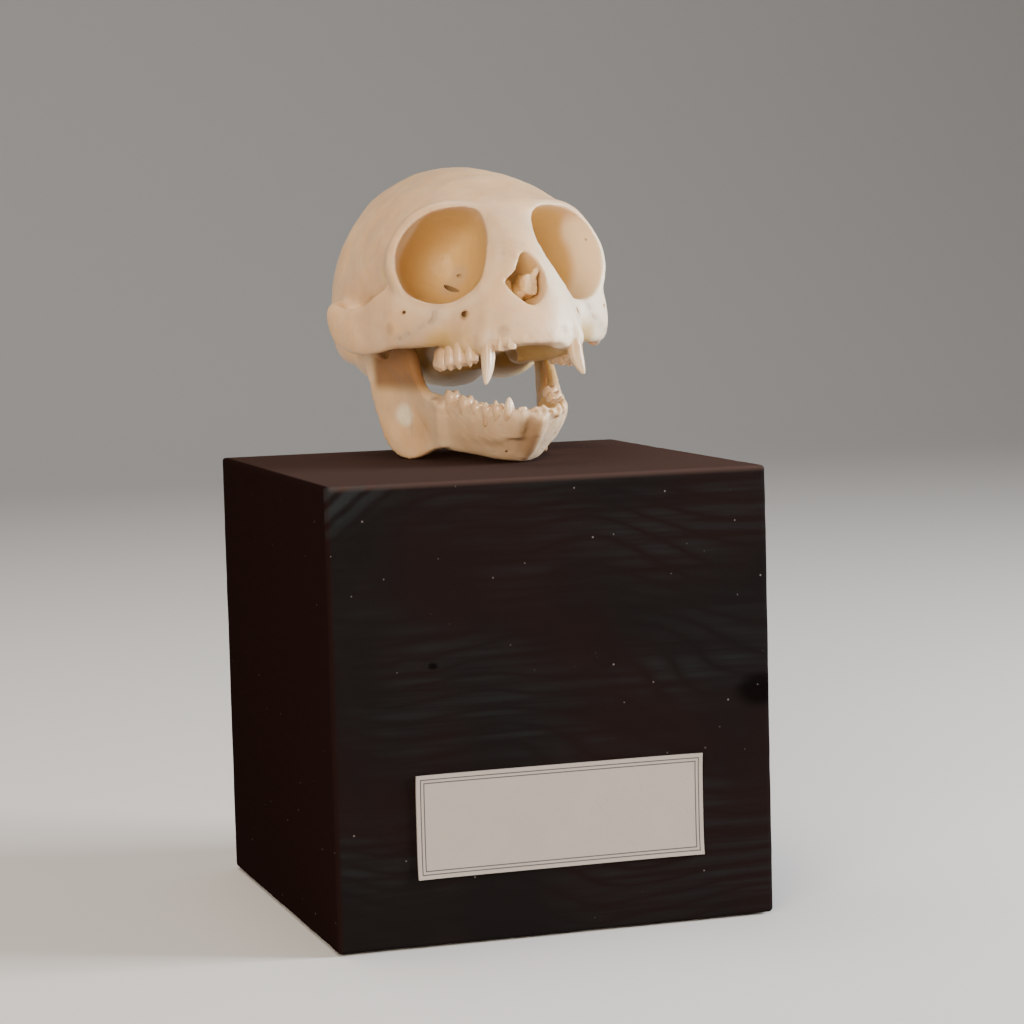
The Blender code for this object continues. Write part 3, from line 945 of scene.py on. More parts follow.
@dataclass(frozen=True)
class WoodFinish(Finish):
    """Dark stained softwood: fine wavy level grain, two knots on the front and tiny pale specks."""

    streak: Colour = (0.0135, 0.0150, 0.0155)
    red: Colour = (0.0105, 0.0062, 0.0060)
    wear_and_sheen: Colour = (0.0500, 0.0310, 0.0270)
    painted_side_shade: Colour = (0.0120, 0.0060, 0.0056)
    stroke: Colour = (0.028, 0.035, 0.037)
    core: Colour = (0.0018, 0.0014, 0.0013)
    speck: Colour = (0.11, 0.095, 0.09)
    knots: tuple[tuple[float, float, float], ...] = ((0.0238, 0.0252, 0.0050), (-0.0137, 0.0303, 0.0010))

    def knot(self, sheet: NodeSheet, place: bpy.types.Node, x: float, z: float) -> bpy.types.NodeSocket:
        """Measure how far a point lies from the axis of a knot.

        Args:
            sheet: the material's sheet.
            place: the node that holds the split coordinates.
            x: the knot's place across the front.
            z: its height.

        Returns:
            The distance's output.
        """
        across = sheet.maths("SUBTRACT", place.outputs["X"], x)
        above = sheet.times(sheet.maths("SUBTRACT", place.outputs["Z"], z), 1.5)
        square = sheet.plus(sheet.times(across, across), sheet.times(above, above))
        return sheet.maths("SQRT", square)

    @staticmethod
    def strokes(sheet: NodeSheet, place: bpy.types.Node) -> bpy.types.NodeSocket:
        """Mask the slanting grey strokes at the front's upper left corner.

        Args:
            sheet: the material's sheet.
            place: the node that holds the split coordinates.

        Returns:
            The mask's output.
        """
        below = sheet.maths("SUBTRACT", 0.0505, place.outputs["Z"])
        along = sheet.plus(place.outputs["X"], 0.0255)
        reach = sheet.plus(sheet.times(below, 1.5), along)
        corner = sheet.rest(sheet.ramp(reach, 0.0045, 0.0125))
        front = sheet.maths("LESS_THAN", place.outputs["Y"], -0.0246)
        slant = sheet.plus(place.outputs["Z"], sheet.times(place.outputs["X"], -0.72))
        wobble = sheet.times(sheet.noise(300.0, 3.0), 0.0012)
        lines = sheet.maths("FRACT", sheet.times(sheet.plus(slant, wobble), 480.0))
        marks = sheet.ramp(sheet.times(lines, sheet.rest(lines)), 0.08, 0.25)
        return sheet.times(sheet.times(corner, front), sheet.times(marks, 0.36))

    def make(self, effects: Effects) -> bpy.types.Material:
        """Build the material.

        Args:
            effects: the shared groups.

        Returns:
            The material.
        """
        material, sheet, shader = self.start()
        place = sheet.add("TexCoord").outputs["Object"]
        split = sheet.add("SeparateXYZ")
        sheet.feed(split.inputs[0], place)
        wave = sheet.noise(28.0, 2.0, (0.7, 0.7, 1.0))
        level = sheet.plus(split.outputs["Z"], sheet.times(wave, 0.030))
        knots: object = 0.0
        for x, z, wide in self.knots:
            far = self.knot(sheet, split, x, z)
            pull = sheet.times(sheet.rest(sheet.ramp(far, 0.0, wide * 3.5)), wide)
            level = sheet.plus(level, sheet.times(pull, 0.8))
            knots = sheet.maths("MAXIMUM", knots, sheet.rest(sheet.ramp(far, wide * 0.3, wide * 0.75)))
        knots = sheet.times(knots, sheet.rest(sheet.ramp(split.outputs["Y"], -0.0235, -0.0150)))
        rings = sheet.maths("FRACT", sheet.times(level, 520.0))
        bands = sheet.times(sheet.times(rings, sheet.rest(rings)), 4.0)
        fibre = sheet.noise(420.0, 8.0, (0.10, 0.10, 2.6))
        patch = sheet.ramp(sheet.noise(75.0, 4.0, (0.6, 0.6, 1.0)), 0.38, 0.68)
        grain = sheet.times(sheet.times(bands, patch), sheet.ramp(fibre, 0.32, 0.7))
        base = sheet.mix(sheet.ramp(sheet.noise(48.0, 3.0), 0.38, 0.66), self.colour, self.red)
        base = sheet.mix(sheet.times(grain, 0.7), base, self.streak)
        # The top face is lighter: worn wood together with a painted sheen.
        base = sheet.mix(sheet.ramp(split.outputs["Z"], 0.0492, 0.0499), base, self.wear_and_sheen)
        # Painted shade: the left side is darker.
        dark_side = sheet.rest(sheet.ramp(split.outputs["X"], -0.0248, -0.0242))
        base = sheet.mix(dark_side, base, self.painted_side_shade)
        base = sheet.mix(self.strokes(sheet, split), base, self.stroke)
        base = sheet.mix(sheet.times(knots, 0.75), base, self.core)
        specks = sheet.add("TexVoronoi")
        specks.inputs["Scale"].default_value = 620.0
        sheet.feed(specks.inputs["Vector"], place)
        near = sheet.rest(sheet.ramp(specks.outputs["Distance"], 0.04, 0.09))
        rare = sheet.ramp(sheet.noise(900.0, 2.0), 0.54, 0.62)
        base = sheet.mix(sheet.times(near, rare), base, self.speck)
        sheet.feed(shader.inputs["Base Color"], base)
        sheet.feed(shader.inputs["Roughness"], sheet.plus(sheet.times(fibre, 0.22),
                                                           self.roughness - 0.11))
        shader.inputs["Specular IOR Level"].default_value = 0.0
        pores = effects.place(sheet, effects.pores, scale=1100.0, depth=0.3)
        height = sheet.plus(sheet.times(fibre, 1.0), sheet.times(bands, 0.12))
        height = sheet.plus(height, pores.outputs["Height"])
        self.bump(sheet, shader, height, 0.00004)
        return material


@dataclass(frozen=True)
class PaperFinish(Finish):
    """Grey-white card with a thin ruled double border."""

    size: tuple[float, float] = (0.0324, 0.0107)
    centre: tuple[float, float] = (0.0, 0.0)
    insets: tuple[float, float] = (0.00048, 0.00086)
    line: float = 0.00013
    cloud: Colour = (0.35, 0.305, 0.27)
    ink: Colour = (0.05, 0.045, 0.05)

    def make(self, effects: Effects) -> bpy.types.Material:
        """Build the material.

        Args:
            effects: the shared groups.

        Returns:
            The material.
        """
        material, sheet, shader = self.start()
        split = sheet.add("SeparateXYZ")
        sheet.feed(split.inputs[0], sheet.add("TexCoord").outputs["Object"])
        gaps = []
        for axis, middle, whole in (("X", self.centre[0], self.size[0]), ("Z", self.centre[1], self.size[1])):
            away = sheet.maths("ABSOLUTE", sheet.maths("SUBTRACT", split.outputs[axis], middle))
            gaps.append(sheet.maths("SUBTRACT", whole / 2.0, away))
        inside = sheet.maths("MINIMUM", gaps[0], gaps[1])
        ink: object = 0.0
        for inset in self.insets:
            off = sheet.maths("ABSOLUTE", sheet.maths("SUBTRACT", inside, inset))
            ink = sheet.maths("MAXIMUM", ink, sheet.maths("LESS_THAN", off, self.line / 2.0))
        base = effects.place(sheet, effects.mottle, base=self.colour, cloud=self.cloud,
                             scale=300.0, amount=0.35).outputs["Color"]
        base = sheet.mix(sheet.times(ink, 0.92), base, self.ink)
        sheet.feed(shader.inputs["Base Color"], base)
        shader.inputs["Specular IOR Level"].default_value = 0.25
        fibres = effects.place(sheet, effects.pores, scale=2500.0, depth=0.5)
        self.bump(sheet, shader, fibres.outputs["Height"], 0.00003)
        return material


def openness(obj: bpy.types.Object, reach: float, rays: int = 12) -> np.ndarray:
    """Return how free each point of a closed surface lies.

    Args:
        obj: the object.
        reach: how far away something still shades a point.
        rays: how many directions are tried.

    Returns:
        For each point the share of directions that meet nothing, the straight one counting most.
    """
    rows, outward = Bench.points(obj), Bench.normals(obj)
    tree = BVHTree.FromPolygons(rows.tolist(), [tuple(face.vertices) for face in obj.data.polygons])
    fan = []
    for k in range(rays):
        height = 1.0 - (k + 0.5) / rays * 0.85
        angle = k * GOLDEN_ANGLE
        flat = math.sqrt(1.0 - height * height)
        fan.append(Vector((flat * math.cos(angle), flat * math.sin(angle), height)))
    total = sum(way.z for way in fan)
    free = np.zeros(len(rows))
    for k, (row, normal) in enumerate(zip(rows, outward)):
        start, up = Vector(row), Vector(normal)
        turn = up.to_track_quat("Z", "Y")
        start += up * 0.05
        for way in fan:
            if tree.ray_cast(start, turn @ way, reach)[0] is None:
                free[k] += way.z
    return free / total


def spots(rows: np.ndarray, places: Iterable[tuple[Row, float]]) -> np.ndarray:
    """Return a mask with a soft spot at each of a few places.

    Args:
        rows: the points.
        places: pairs of a place and a radius.

    Returns:
        One number from 0 to 1 for each point.
    """
    mask = np.zeros(len(rows))
    for place, wide in places:
        away = np.linalg.norm(rows - np.array(place, dtype=float), axis=1)
        mask = np.maximum(mask, 1.0 - smooth_step(wide * 0.5, wide * 1.5, away))
    return mask


def both(place: Row) -> tuple[Row, Row]:
    """Return a place and its mirror image."""
    return tuple(place), (-place[0], *place[1:])


@dataclass
class Bone:
    """What the two bones share: their pose, finish and the way they are brought to size."""

    pose: Pose
    limit: int = 190000

    def settle(self, obj: bpy.types.Object, name: str, material: bpy.types.Material, node: str) -> None:
        """Pose a finished bone, give it its material and report it.

        Args:
            obj: the bone in millimetres.
            name: its name.
            material: its finish.
            node: the node that it replaces or rides with.
        """
        self.pose.settle(obj)
        dress(obj, name, material, node)

    def thin(self, obj: bpy.types.Object) -> None:
        """Bring a dense bone under the limit of triangles.

        Args:
            obj: the bone.
        """
        Bench.apply(obj, "TRIANGULATE")
        if len(obj.data.polygons) > self.limit:
            Bench.apply(obj, "DECIMATE", ratio=self.limit / len(obj.data.polygons))

    @staticmethod
    def push(obj: bpy.types.Object, amount: np.ndarray) -> None:
        """Move each point out along its normal.

        Args:
            obj: the bone.
            amount: how far, one number for each point.
        """
        Bench.set_points(obj, Bench.points(obj) + Bench.normals(obj) * amount[:, None])


def dress(obj: bpy.types.Object, name: str, material: bpy.types.Material,
          node: Optional[str] = None, angle: float = 50.0) -> None:
    """Name, shade and hand over a finished piece.

    Args:
        obj: the piece, in its place.
        name: its name.
        material: its finish.
        node: the node that it stands for, if any.
        angle: edges sharper than this stay crisp.
    """
    obj.name = name
    obj.data.name = name
    Bench.alone(obj)
    bpy.ops.object.shade_smooth_by_angle(angle=math.radians(angle))
    obj.data.materials.clear()
    obj.data.materials.append(material)
    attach(obj, "root")
    if node:
        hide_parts(node)
    LOG.info("%s: %d faces", name, len(obj.data.polygons))


@dataclass
class Cranium(Bone):
    """Upper skull: braincase, face, cheek arches and the openings in them."""

    voxel: float = 0.3
    fine: float = 0.24
    case: Sequence[Row] = ((7.2, 15.9, 4.0, 1.5, 1.6), (9.0, 14.6, 8.2, 4.0, 4.0),
                           (11.6, 13.2, 11.0, 6.9, 7.0), (15.4, 12.2, 12.1, 9.8, 8.0),
                           (20.5, 11.2, 12.6, 12.5, 8.0), (26.5, 10.4, 13.0, 14.5, 7.4),
                           (32.5, 9.8, 13.4, 14.7, 6.8), (38.5, 9.2, 12.4, 12.6, 6.2),
                           (43.0, 9.0, 9.8, 9.2, 5.2), (45.8, 9.0, 6.0, 5.4, 3.6), (46.8, 9.2, 2.2, 2.0, 1.4))
    face: Sequence[Row] = ((-0.2, 10.5, 7.3, 10.3, 6.0), (1.5, 10.5, 7.8, 10.5, 6.5),
                           (4.0, 10.5, 8.1, 9.9, 8.0), (6.5, 10.5, 7.3, 8.9, 9.0), (9.0, 10.5, 5.6, 8.3, 9.0),
                           (11.3, 10.5, 4.1, 7.7, 9.0), (14.0, 11.0, 3.6, 6.6, 9.0),
                           (17.0, 12.0, 4.2, 4.7, 8.0), (18.4, 13.0, 4.0, 3.6, 6.0))
    arch: Sequence[Row] = ((6.4, 8.4, 4.5, 2.0, 2.9), (9.2, 9.8, 4.5, 1.9, 3.2), (11.6, 11.8, 5.0, 1.5, 3.5),
                           (12.8, 14.6, 5.3, 1.0, 3.6), (14.0, 18.6, 4.7, 0.9, 3.1),
                           (15.0, 22.6, 5.2, 0.9, 2.7), (15.5, 26.0, 6.6, 1.0, 2.2),
                           (14.0, 28.8, 7.6, 1.6, 2.0), (11.0, 31.0, 7.8, 2.0, 1.6))
    orbit_centre: tuple[float, float, float] = (7.8, 9.2, 11.65)
    orbit_facing: tuple[float, float, float] = (0.38, -0.92, 0.08)
    orbit_inward: tuple[float, float, float] = (-0.28, 0.96, -0.02)
    orbit_radii: Row = (5.15, 4.95, 5.4, 6.8, 5.35, 5.45, 5.6, 5.55)
    orbit_depth: float = 10.0
    orbit_rim: float = 1.3
    nose_centre: tuple[float, float, float] = (0.0, 2.6, 7.7)
    nose_radii: Row = (2.35, 2.6, 3.4, 1.75, 2.45, 2.3, 3.0, 2.5)
    nose_depth: float = 4.3
    foramina: Sequence[tuple[Row, Row, float]] = (
        ((6.93, 3.9, 4.37), (6.5, 6.6, 4.6), 0.38), ((12.5, 9.2, 5.6), (11.9, 11.2, 5.5), 0.22),
        ((10.6, 12.1, 13.2), (12.2, 12.8, 14.0), 0.22))
    pits: Sequence[tuple[Row, Row, Row]] = (
        ((2.9, 17.0, 10.5), (0.24, 0.9, 0.24), (0.0, 0.0, 0.0)),
        ((3.9, 17.6, 8.9), (0.34, 2.4, 0.95), (0.0, 44.0, 0.0)))
    sutures: Sequence[tuple[Sequence[Row], float, float]] = (
        (((12.8, 11.4, 2.4), (11.2, 9.6, 3.2), (9.7, 7.9, 4.2), (9.4, 7.4, 6.4)), 0.26, 0.9),
        (((0.0, 3.0, 11.5), (0.0, 3.6, 14.4)), 0.05, 0.35),
        (((2.2, 3.4, 11.0), (3.0, 4.2, 13.4), (1.2, 3.9, 14.6), (0.0, 3.9, 14.6)), 0.05, 0.4),
        (((0.0, 22.5, 24.4), (4.5, 21.6, 23.2), (8.6, 20.2, 19.6), (11.2, 18.0, 14.6)), 0.08, 0.55),
        (((0.0, 22.5, 24.4), (0.0, 30.0, 25.4), (0.0, 38.0, 22.0)), 0.07, 0.5),
        (((0.0, 38.0, 22.0), (5.0, 37.6, 20.0), (9.6, 36.6, 14.6), (11.8, 34.4, 9.6)), 0.08, 0.55),
        (((12.4, 20.0, 13.4), (13.6, 26.0, 13.4), (13.6, 31.0, 12.0), (12.4, 34.6, 10.0)), 0.07, 0.45))
    temporal_line: Sequence[Row] = ((10.6, 8.9, 16.4), (9.8, 12.5, 20.2), (8.4, 19.0, 23.2),
                                    (8.2, 27.0, 23.6), (9.2, 34.0, 20.0), (11.2, 38.4, 14.0))
    crest: Sequence[Row] = ((3.28, 5.97, 11.93), (3.7, 5.0, 10.2), (4.16, 4.19, 8.61), (5.1, 3.9, 7.2))
    canine_ridge: Sequence[Row] = ((5.5, 2.3, 0.9), (5.2, 2.3, 2.6), (4.7, 3.0, 4.6), (4.2, 3.7, 6.2))

    def orbit_drum(self, side: float) -> bpy.types.Object:
        """Skin the thick tube of bone round one eye socket.

        Args:
            side: 1 for the left, -1 for the right.

        Returns:
            The closed form.
        """
        middle = Vector((side * self.orbit_centre[0], *self.orbit_centre[1:]))
        facing = Vector((side * self.orbit_facing[0], *self.orbit_facing[1:])).normalized()
        _, across, upward = Draft.axes(facing, side)
        rings = []
        for depth, extra in ((-0.3, 0.6), (0.2, 1.0), (1.5, self.orbit_rim), (4.0, 1.7), (9.0, 1.6)):
            rings.append([middle - facing * depth + across * a + upward * b
                          for a, b in Draft.outline(self.orbit_radii, extra)])
        return Bench.skin(rings, "drum")

    def forms(self) -> list[bpy.types.Object]:
        """Return the overlapping solids of the skull."""
        shapes = [Draft.hull(self.case), Draft.stack(self.face),
                  Draft.strut(((0, 18, 4.6, 5.4, 2.6), (0, 30, 3.8, 5.6, 2.6), (0, 39, 4.8, 5.0, 2.4)))]
        for side in SIDES:
            shapes.append(self.orbit_drum(side))
            shapes.append(Draft.strut(self.arch, side))
            shapes.append(Bench.ball((side * 11.4, 27.4, 7.6), (3.6, 2.6, 1.5)))
            shapes.append(Bench.ball((side * 6.9, 32.0, 3.1), (4.7, 6.0, 3.3)))
            shapes.append(Bench.ball((side * 11.0, 34.5, 6.4), (2.4, 3.8, 4.0)))
            shapes.append(Bench.ball((side * 3.3, 39.6, 3.4), (1.5, 2.5, 1.3), (20, 0, side * 20)))
            shapes.append(Bench.ball((side * 5.3, 3.1, 1.2), (1.15, 1.3, 1.9), (8, side * -8, 0)))
            shapes.append(Draft.strut(((5.8, 14.6, 1.4, 1.0, 1.6), (4.6, 18.2, 2.0, 0.65, 2.3),
                                       (4.4, 21.8, 2.6, 0.65, 2.1)), side))
        shapes.append(Draft.strut(((0, 25, 2.6, 3.0, 2.4), (0, 31, 1.6, 4.2, 2.7), (0, 37, 2.6, 4.0, 2.4))))
        return shapes

    def hollows(self) -> list[bpy.types.Object]:
        """Return the cutters of the large openings."""
        cutters = [Draft.pit(self.nose_centre, (0.0, 1.0, -0.05), Draft.bowl(self.nose_depth, 4.0),
                             self.nose_radii, 1.0),
                   Bench.ball((0.0, 8.4, -0.7), (5.2, 7.6, 2.4)), Bench.ball((0.0, 17.5, 1.2), (3.2, 5.5, 3.0)),
                   Draft.strut(((-4.0, 0.7, -0.8, 1.5, 1.1), (0.0, 0.2, -0.8, 2.2, 1.15),
                                (4.0, 0.7, -0.8, 1.5, 1.1))),
                   Bench.ball((0.0, 43.6, 4.4), (3.4, 4.0, 2.9), (-35, 0, 0))]
        for side in SIDES:
            centre = (side * self.orbit_centre[0], *self.orbit_centre[1:])
            inward = (side * self.orbit_inward[0], *self.orbit_inward[1:])
            cutters.append(Draft.pit(centre, inward, Draft.bowl(self.orbit_depth, 6.0), self.orbit_radii, side))
            cutters.append(Bench.ball((side * 11.6, 21.4, 4.2), (2.6, 5.0, 4.6), (0, 0, side * 14)))
            cutters.append(Bench.ball((side * 12.6, 32.2, 4.6), (1.6, 1.0, 1.0)))
        return cutters

    def room_for(self, jaw: bpy.types.Object, jaw_pose: Pose) -> bpy.types.Object:
        """Return a swollen copy of the jaw in this skull's frame.

        Args:
            jaw: the finished jaw, in its own frame.
            jaw_pose: its pose.

        Returns:
            The closed cutter.
        """
        room = jaw.copy()
        room.data = jaw.data.copy()
        bpy.context.scene.collection.objects.link(room)
        room.data.transform(self.pose.matrix().inverted() @ jaw_pose.matrix())
        Bench.apply(room, "DISPLACE", strength=0.25, mid_level=0.0)
        Bench.apply(room, "REMESH", mode="VOXEL", voxel_size=self.voxel)
        return room

    def small_holes(self) -> list[bpy.types.Object]:
        """Return the cutters of the nerve holes, and of the slits deep in the eye sockets, on both sides."""
        holes = []
        for side in SIDES:
            holes += [Draft.canal(start, end, wide, side) for start, end, wide in self.foramina]
            holes += [Bench.ball((side * x, y, z), size, (turn[0], side * turn[1], turn[2]), 20)
                      for (x, y, z), size, turn in self.pits]
        return holes

    def relief(self, obj: bpy.types.Object) -> np.ndarray:
        """Return how far each point stands out for ridges, seams and the bone's own unevenness.

        Args:
            obj: the carved skull.

        Returns:
            One amount in millimetres for each point.
        """
        rows = Bench.points(obj)
        folded = to_left(rows)
        wander = np.stack([ripple(rows, 1.1, seed) for seed in (3.0, 9.0, 15.0)], axis=1) * 0.35
        amount = ripple(rows, 3.4) * 0.10 + ripple(rows, 1.2, 5.0) * 0.035 + ripple(rows, 0.5, 7.0) * 0.012
        for path, depth, _ in self.sutures:
            amount -= depth * ridge(folded + wander, path, 0.22)
        amount += 0.14 * ridge(folded, self.temporal_line, 0.8)
        amount += 0.22 * ridge(folded, self.crest, 0.5)
        amount += 0.38 * ridge(folded, self.canine_ridge, 0.75)
        for y in (5.3, 7.2, 9.1, 11.4, 13.7):
            root = ((7.4 if y > 6 else 6.9, y, 0.2), (7.2 if y > 6 else 6.6, y + 0.2, 2.6))
            amount += 0.16 * ridge(folded, root, 0.5)
        sockets = smooth_step(3.2, 0.4, rows[:, 2]) * smooth_step(16.0, 14.0, rows[:, 1])
        amount -= sockets * 0.10 * np.maximum(ripple(rows, 0.55, 2.0), 0.0)
        return amount

    def tone(self, obj: bpy.types.Object) -> Tone:
        """Colour the painted shade in the hollows and under the skull, the stains, the painted light on lit
        faces and rims, and the seams.

        Args:
            obj: the finished skull in its own frame.

        Returns:
            The masks.
        """
        rows = Bench.points(obj)
        free = openness(obj, 8.0)
        folded = to_left(rows)
        ahead, across, upward = Draft.axes(self.orbit_inward, 1.0)
        offset = folded - np.array(self.orbit_centre)
        depth, wide, high = offset @ np.array(ahead), offset @ np.array(across), offset @ np.array(upward)
        inside = smooth_step(6.9, 6.2, np.hypot(wide, high)) * (free < 0.93)
        start = 0.3 + 4.0 * smooth_step(0.5, 3.6, wide)
        # Painted shade: ochre deep inside each eye socket.
        socket = inside * smooth_step(0.0, 2.2, depth - start)
        # Painted shade: ochre deep inside the nose, where the surface is enclosed.
        nose = 0.75 * (smooth_step(3.9, 3.2, folded[:, 0]) * smooth_step(0.9, 2.4, rows[:, 1] - 2.2)
                * smooth_step(3.4, 4.6, rows[:, 2]) * smooth_step(0.75, 0.45, free))
        # Painted shade: ochre on faces turned downward, low on the skull.
        facing = Bench.normals(obj)[:, 2]
        under = smooth_step(0.1, -0.5, facing) * smooth_step(5.2, 3.6, rows[:, 2])
        under *= smooth_step(2.0, 4.5, rows[:, 1])
        under *= 1.0 - smooth_step(9.4, 10.8, folded[:, 0])
        # Painted shade: ochre where the surface is enclosed, and under the braincase behind the teeth.
        deep = smooth_step(0.55, 0.12, free)
        base = smooth_step(6.0, 4.6, rows[:, 2]) * smooth_step(13.0, 16.0, rows[:, 1])
        base *= smooth_step(34.0, 29.0, rows[:, 1]) * smooth_step(9.4, 7.6, folded[:, 0])
        painted_shade = np.maximum.reduce([socket, nose, under, base, deep * 0.75])
        painted_shade *= 0.86 + 0.14 * ripple(rows, 2.4, 4.0)
        holes = [((x, y + 0.9, z), width * 1.5) for place, _, width in self.foramina[:2]
                 for x, y, z in both(place)]
        stain_and_shade = spots(rows, holes) * 0.8
        stain_and_shade = np.maximum(stain_and_shade, spots(rows, [((-3.66, 0.96, 1.92), 0.7), ((3.6, 1.0, 1.9), 0.5)]) * 0.45)
        # Painted shade: brown added on the downward faces and under the braincase.
        stain_and_shade = np.maximum(stain_and_shade, under * (0.07 + 0.12 * ripple(rows, 1.6, 8.0)))
        stain_and_shade = np.maximum(stain_and_shade, base * (0.22 + 0.14 * ripple(rows, 1.6, 8.0)))
        # Brown stain along the tooth sockets, only where the surface is enclosed, so it also paints shade
        # there.
        sockets = smooth_step(1.6, 0.3, rows[:, 2]) * smooth_step(0.75, 0.5, free)
        sockets *= smooth_step(15.5, 14.0, rows[:, 1])
        stain_and_shade = np.maximum(stain_and_shade, sockets * 0.5 * (0.6 + 0.8 * ripple(rows, 0.8, 6.0)))
        stain_and_shade = np.maximum(stain_and_shade, spots(rows, [((-13.6, 12.4, 4.0), 0.8)]) * 0.35)
        stain_and_shade = np.maximum(stain_and_shade, spots(rows, [((-10.0, 8.0, 4.5), 3.4), ((-4.0, 6.0, 16.5), 2.6)]) * 0.08)
        # Painted light: the lit outer wall inside each eye socket, a highlight round the rims, paler front and
        # nose bridge, and the lit left cheek.
        wall = inside * smooth_step(0.6, 3.2, wide) * (1.0 - socket)
        rim = np.exp(-((np.hypot(wide, high) - 6.6) / 0.7) ** 2) * smooth_step(2.0, 0.0, depth) * 0.25
        front = smooth_step(5.5, 2.5, rows[:, 1]) * smooth_step(5.0, 1.0, rows[:, 2]) * 0.1
        cheek = smooth_step(0.8, 4.2, rows[:, 0]) * smooth_step(15.0, 10.0, rows[:, 1])
        cheek *= smooth_step(17.0, 12.0, rows[:, 2])
        bridge = smooth_step(3.6, 1.6, folded[:, 0]) * smooth_step(7.5, 5.5, rows[:, 1]) * 0.12
        pale_and_lit = np.maximum.reduce([wall * 0.8, rim, front, cheek * 0.85, bridge])
        wander = np.stack([ripple(rows, 1.1, seed) for seed in (3.0, 9.0, 15.0)], axis=1) * 0.35
        seam = np.zeros(len(rows))
        for path, _, share in self.sutures:
            seam = np.maximum(seam, share * ridge(folded + wander, path, 0.26))
        grey = ridge(folded + wander, self.sutures[0][0], 0.8) * 0.6
        # Darker grey round the slits deep in each eye socket.
        slit_darkening = spots(rows, [(spot, 1.3) for place, _, _ in self.pits for spot in both(place)]) * 0.5
        return Tone(painted_shade, stain_and_shade, pale_and_lit, np.maximum.reduce([seam, grey, slit_darkening]))

    def septum(self) -> bpy.types.Object:
        """Model the thin wall and the two scrolls inside the nose.

        Returns:
            One fused piece in the skull's frame.
        """
        parts = [Draft.strut(((0.95, 3.5, 7.4, 0.72, 1.2), (0.9, 4.2, 7.4, 0.85, 1.25),
                              (0.8, 7.6, 7.4, 0.8, 1.7)), power=3.2),
                 Draft.strut(((2.2, 3.8, 9.3, 0.2, 0.3), (1.9, 3.4, 9.2, 0.24, 0.32),
                              (1.5, 3.4, 8.8, 0.25, 0.4), (1.3, 4.2, 8.3, 0.3, 0.5),
                              (1.2, 7.6, 8.4, 0.4, 0.9))),
                 Draft.strut(((-0.2, 4.4, 6.2, 0.4, 0.5), (-0.1, 7.6, 7.0, 0.7, 1.4))),
                 Draft.strut(((-1.3, 5.2, 7.0, 0.5, 1.2), (-1.3, 7.6, 7.4, 0.6, 1.6)))]
        obj = Bench.fuse("septum", parts, 0.1, 4)
        rows = Bench.points(obj)
        self.push(obj, ripple(rows, 0.9, 1.0) * 0.13 + ripple(rows, 0.35, 6.0) * 0.06)
        return obj

    def build(self, jaw: bpy.types.Object, jaw_pose: Pose, material: bpy.types.Material) -> None:
        """Model, colour and hand over the skull and the bone inside its nose.

        Args:
            jaw: the jaw, in its own frame, that the skull leaves room for.
            jaw_pose: the jaw's pose.
            material: the bone's finish.
        """
        obj = Bench.fuse("cranium", self.forms(), self.voxel, 14)
        Bench.carve(obj, self.hollows() + [self.room_for(jaw, jaw_pose)])
        Bench.apply(obj, "REMESH", mode="VOXEL", voxel_size=self.fine)
        Bench.apply(obj, "SMOOTH", factor=0.5, iterations=4)
        Bench.keep_largest(obj)
        self.push(obj, self.relief(obj))
        Bench.carve(obj, self.small_holes())
        Bench.keep_largest(obj)
        self.thin(obj)
        self.tone(obj).store(obj.data)
        self.settle(obj, "cranium_bone", material, "cranium")
        septum = self.septum()
        count = len(septum.data.vertices)
        # Painted shade: ochre deepening into the nose; painted light: paler towards its front.
        deep = smooth_step(3.8, 5.4, Bench.points(septum)[:, 1])
        Tone(0.3 + 0.45 * deep, np.zeros(count), 0.3 - 0.3 * deep, np.zeros(count)).store(septum.data)
        self.settle(septum, "nose_scrolls", material, "cranium")


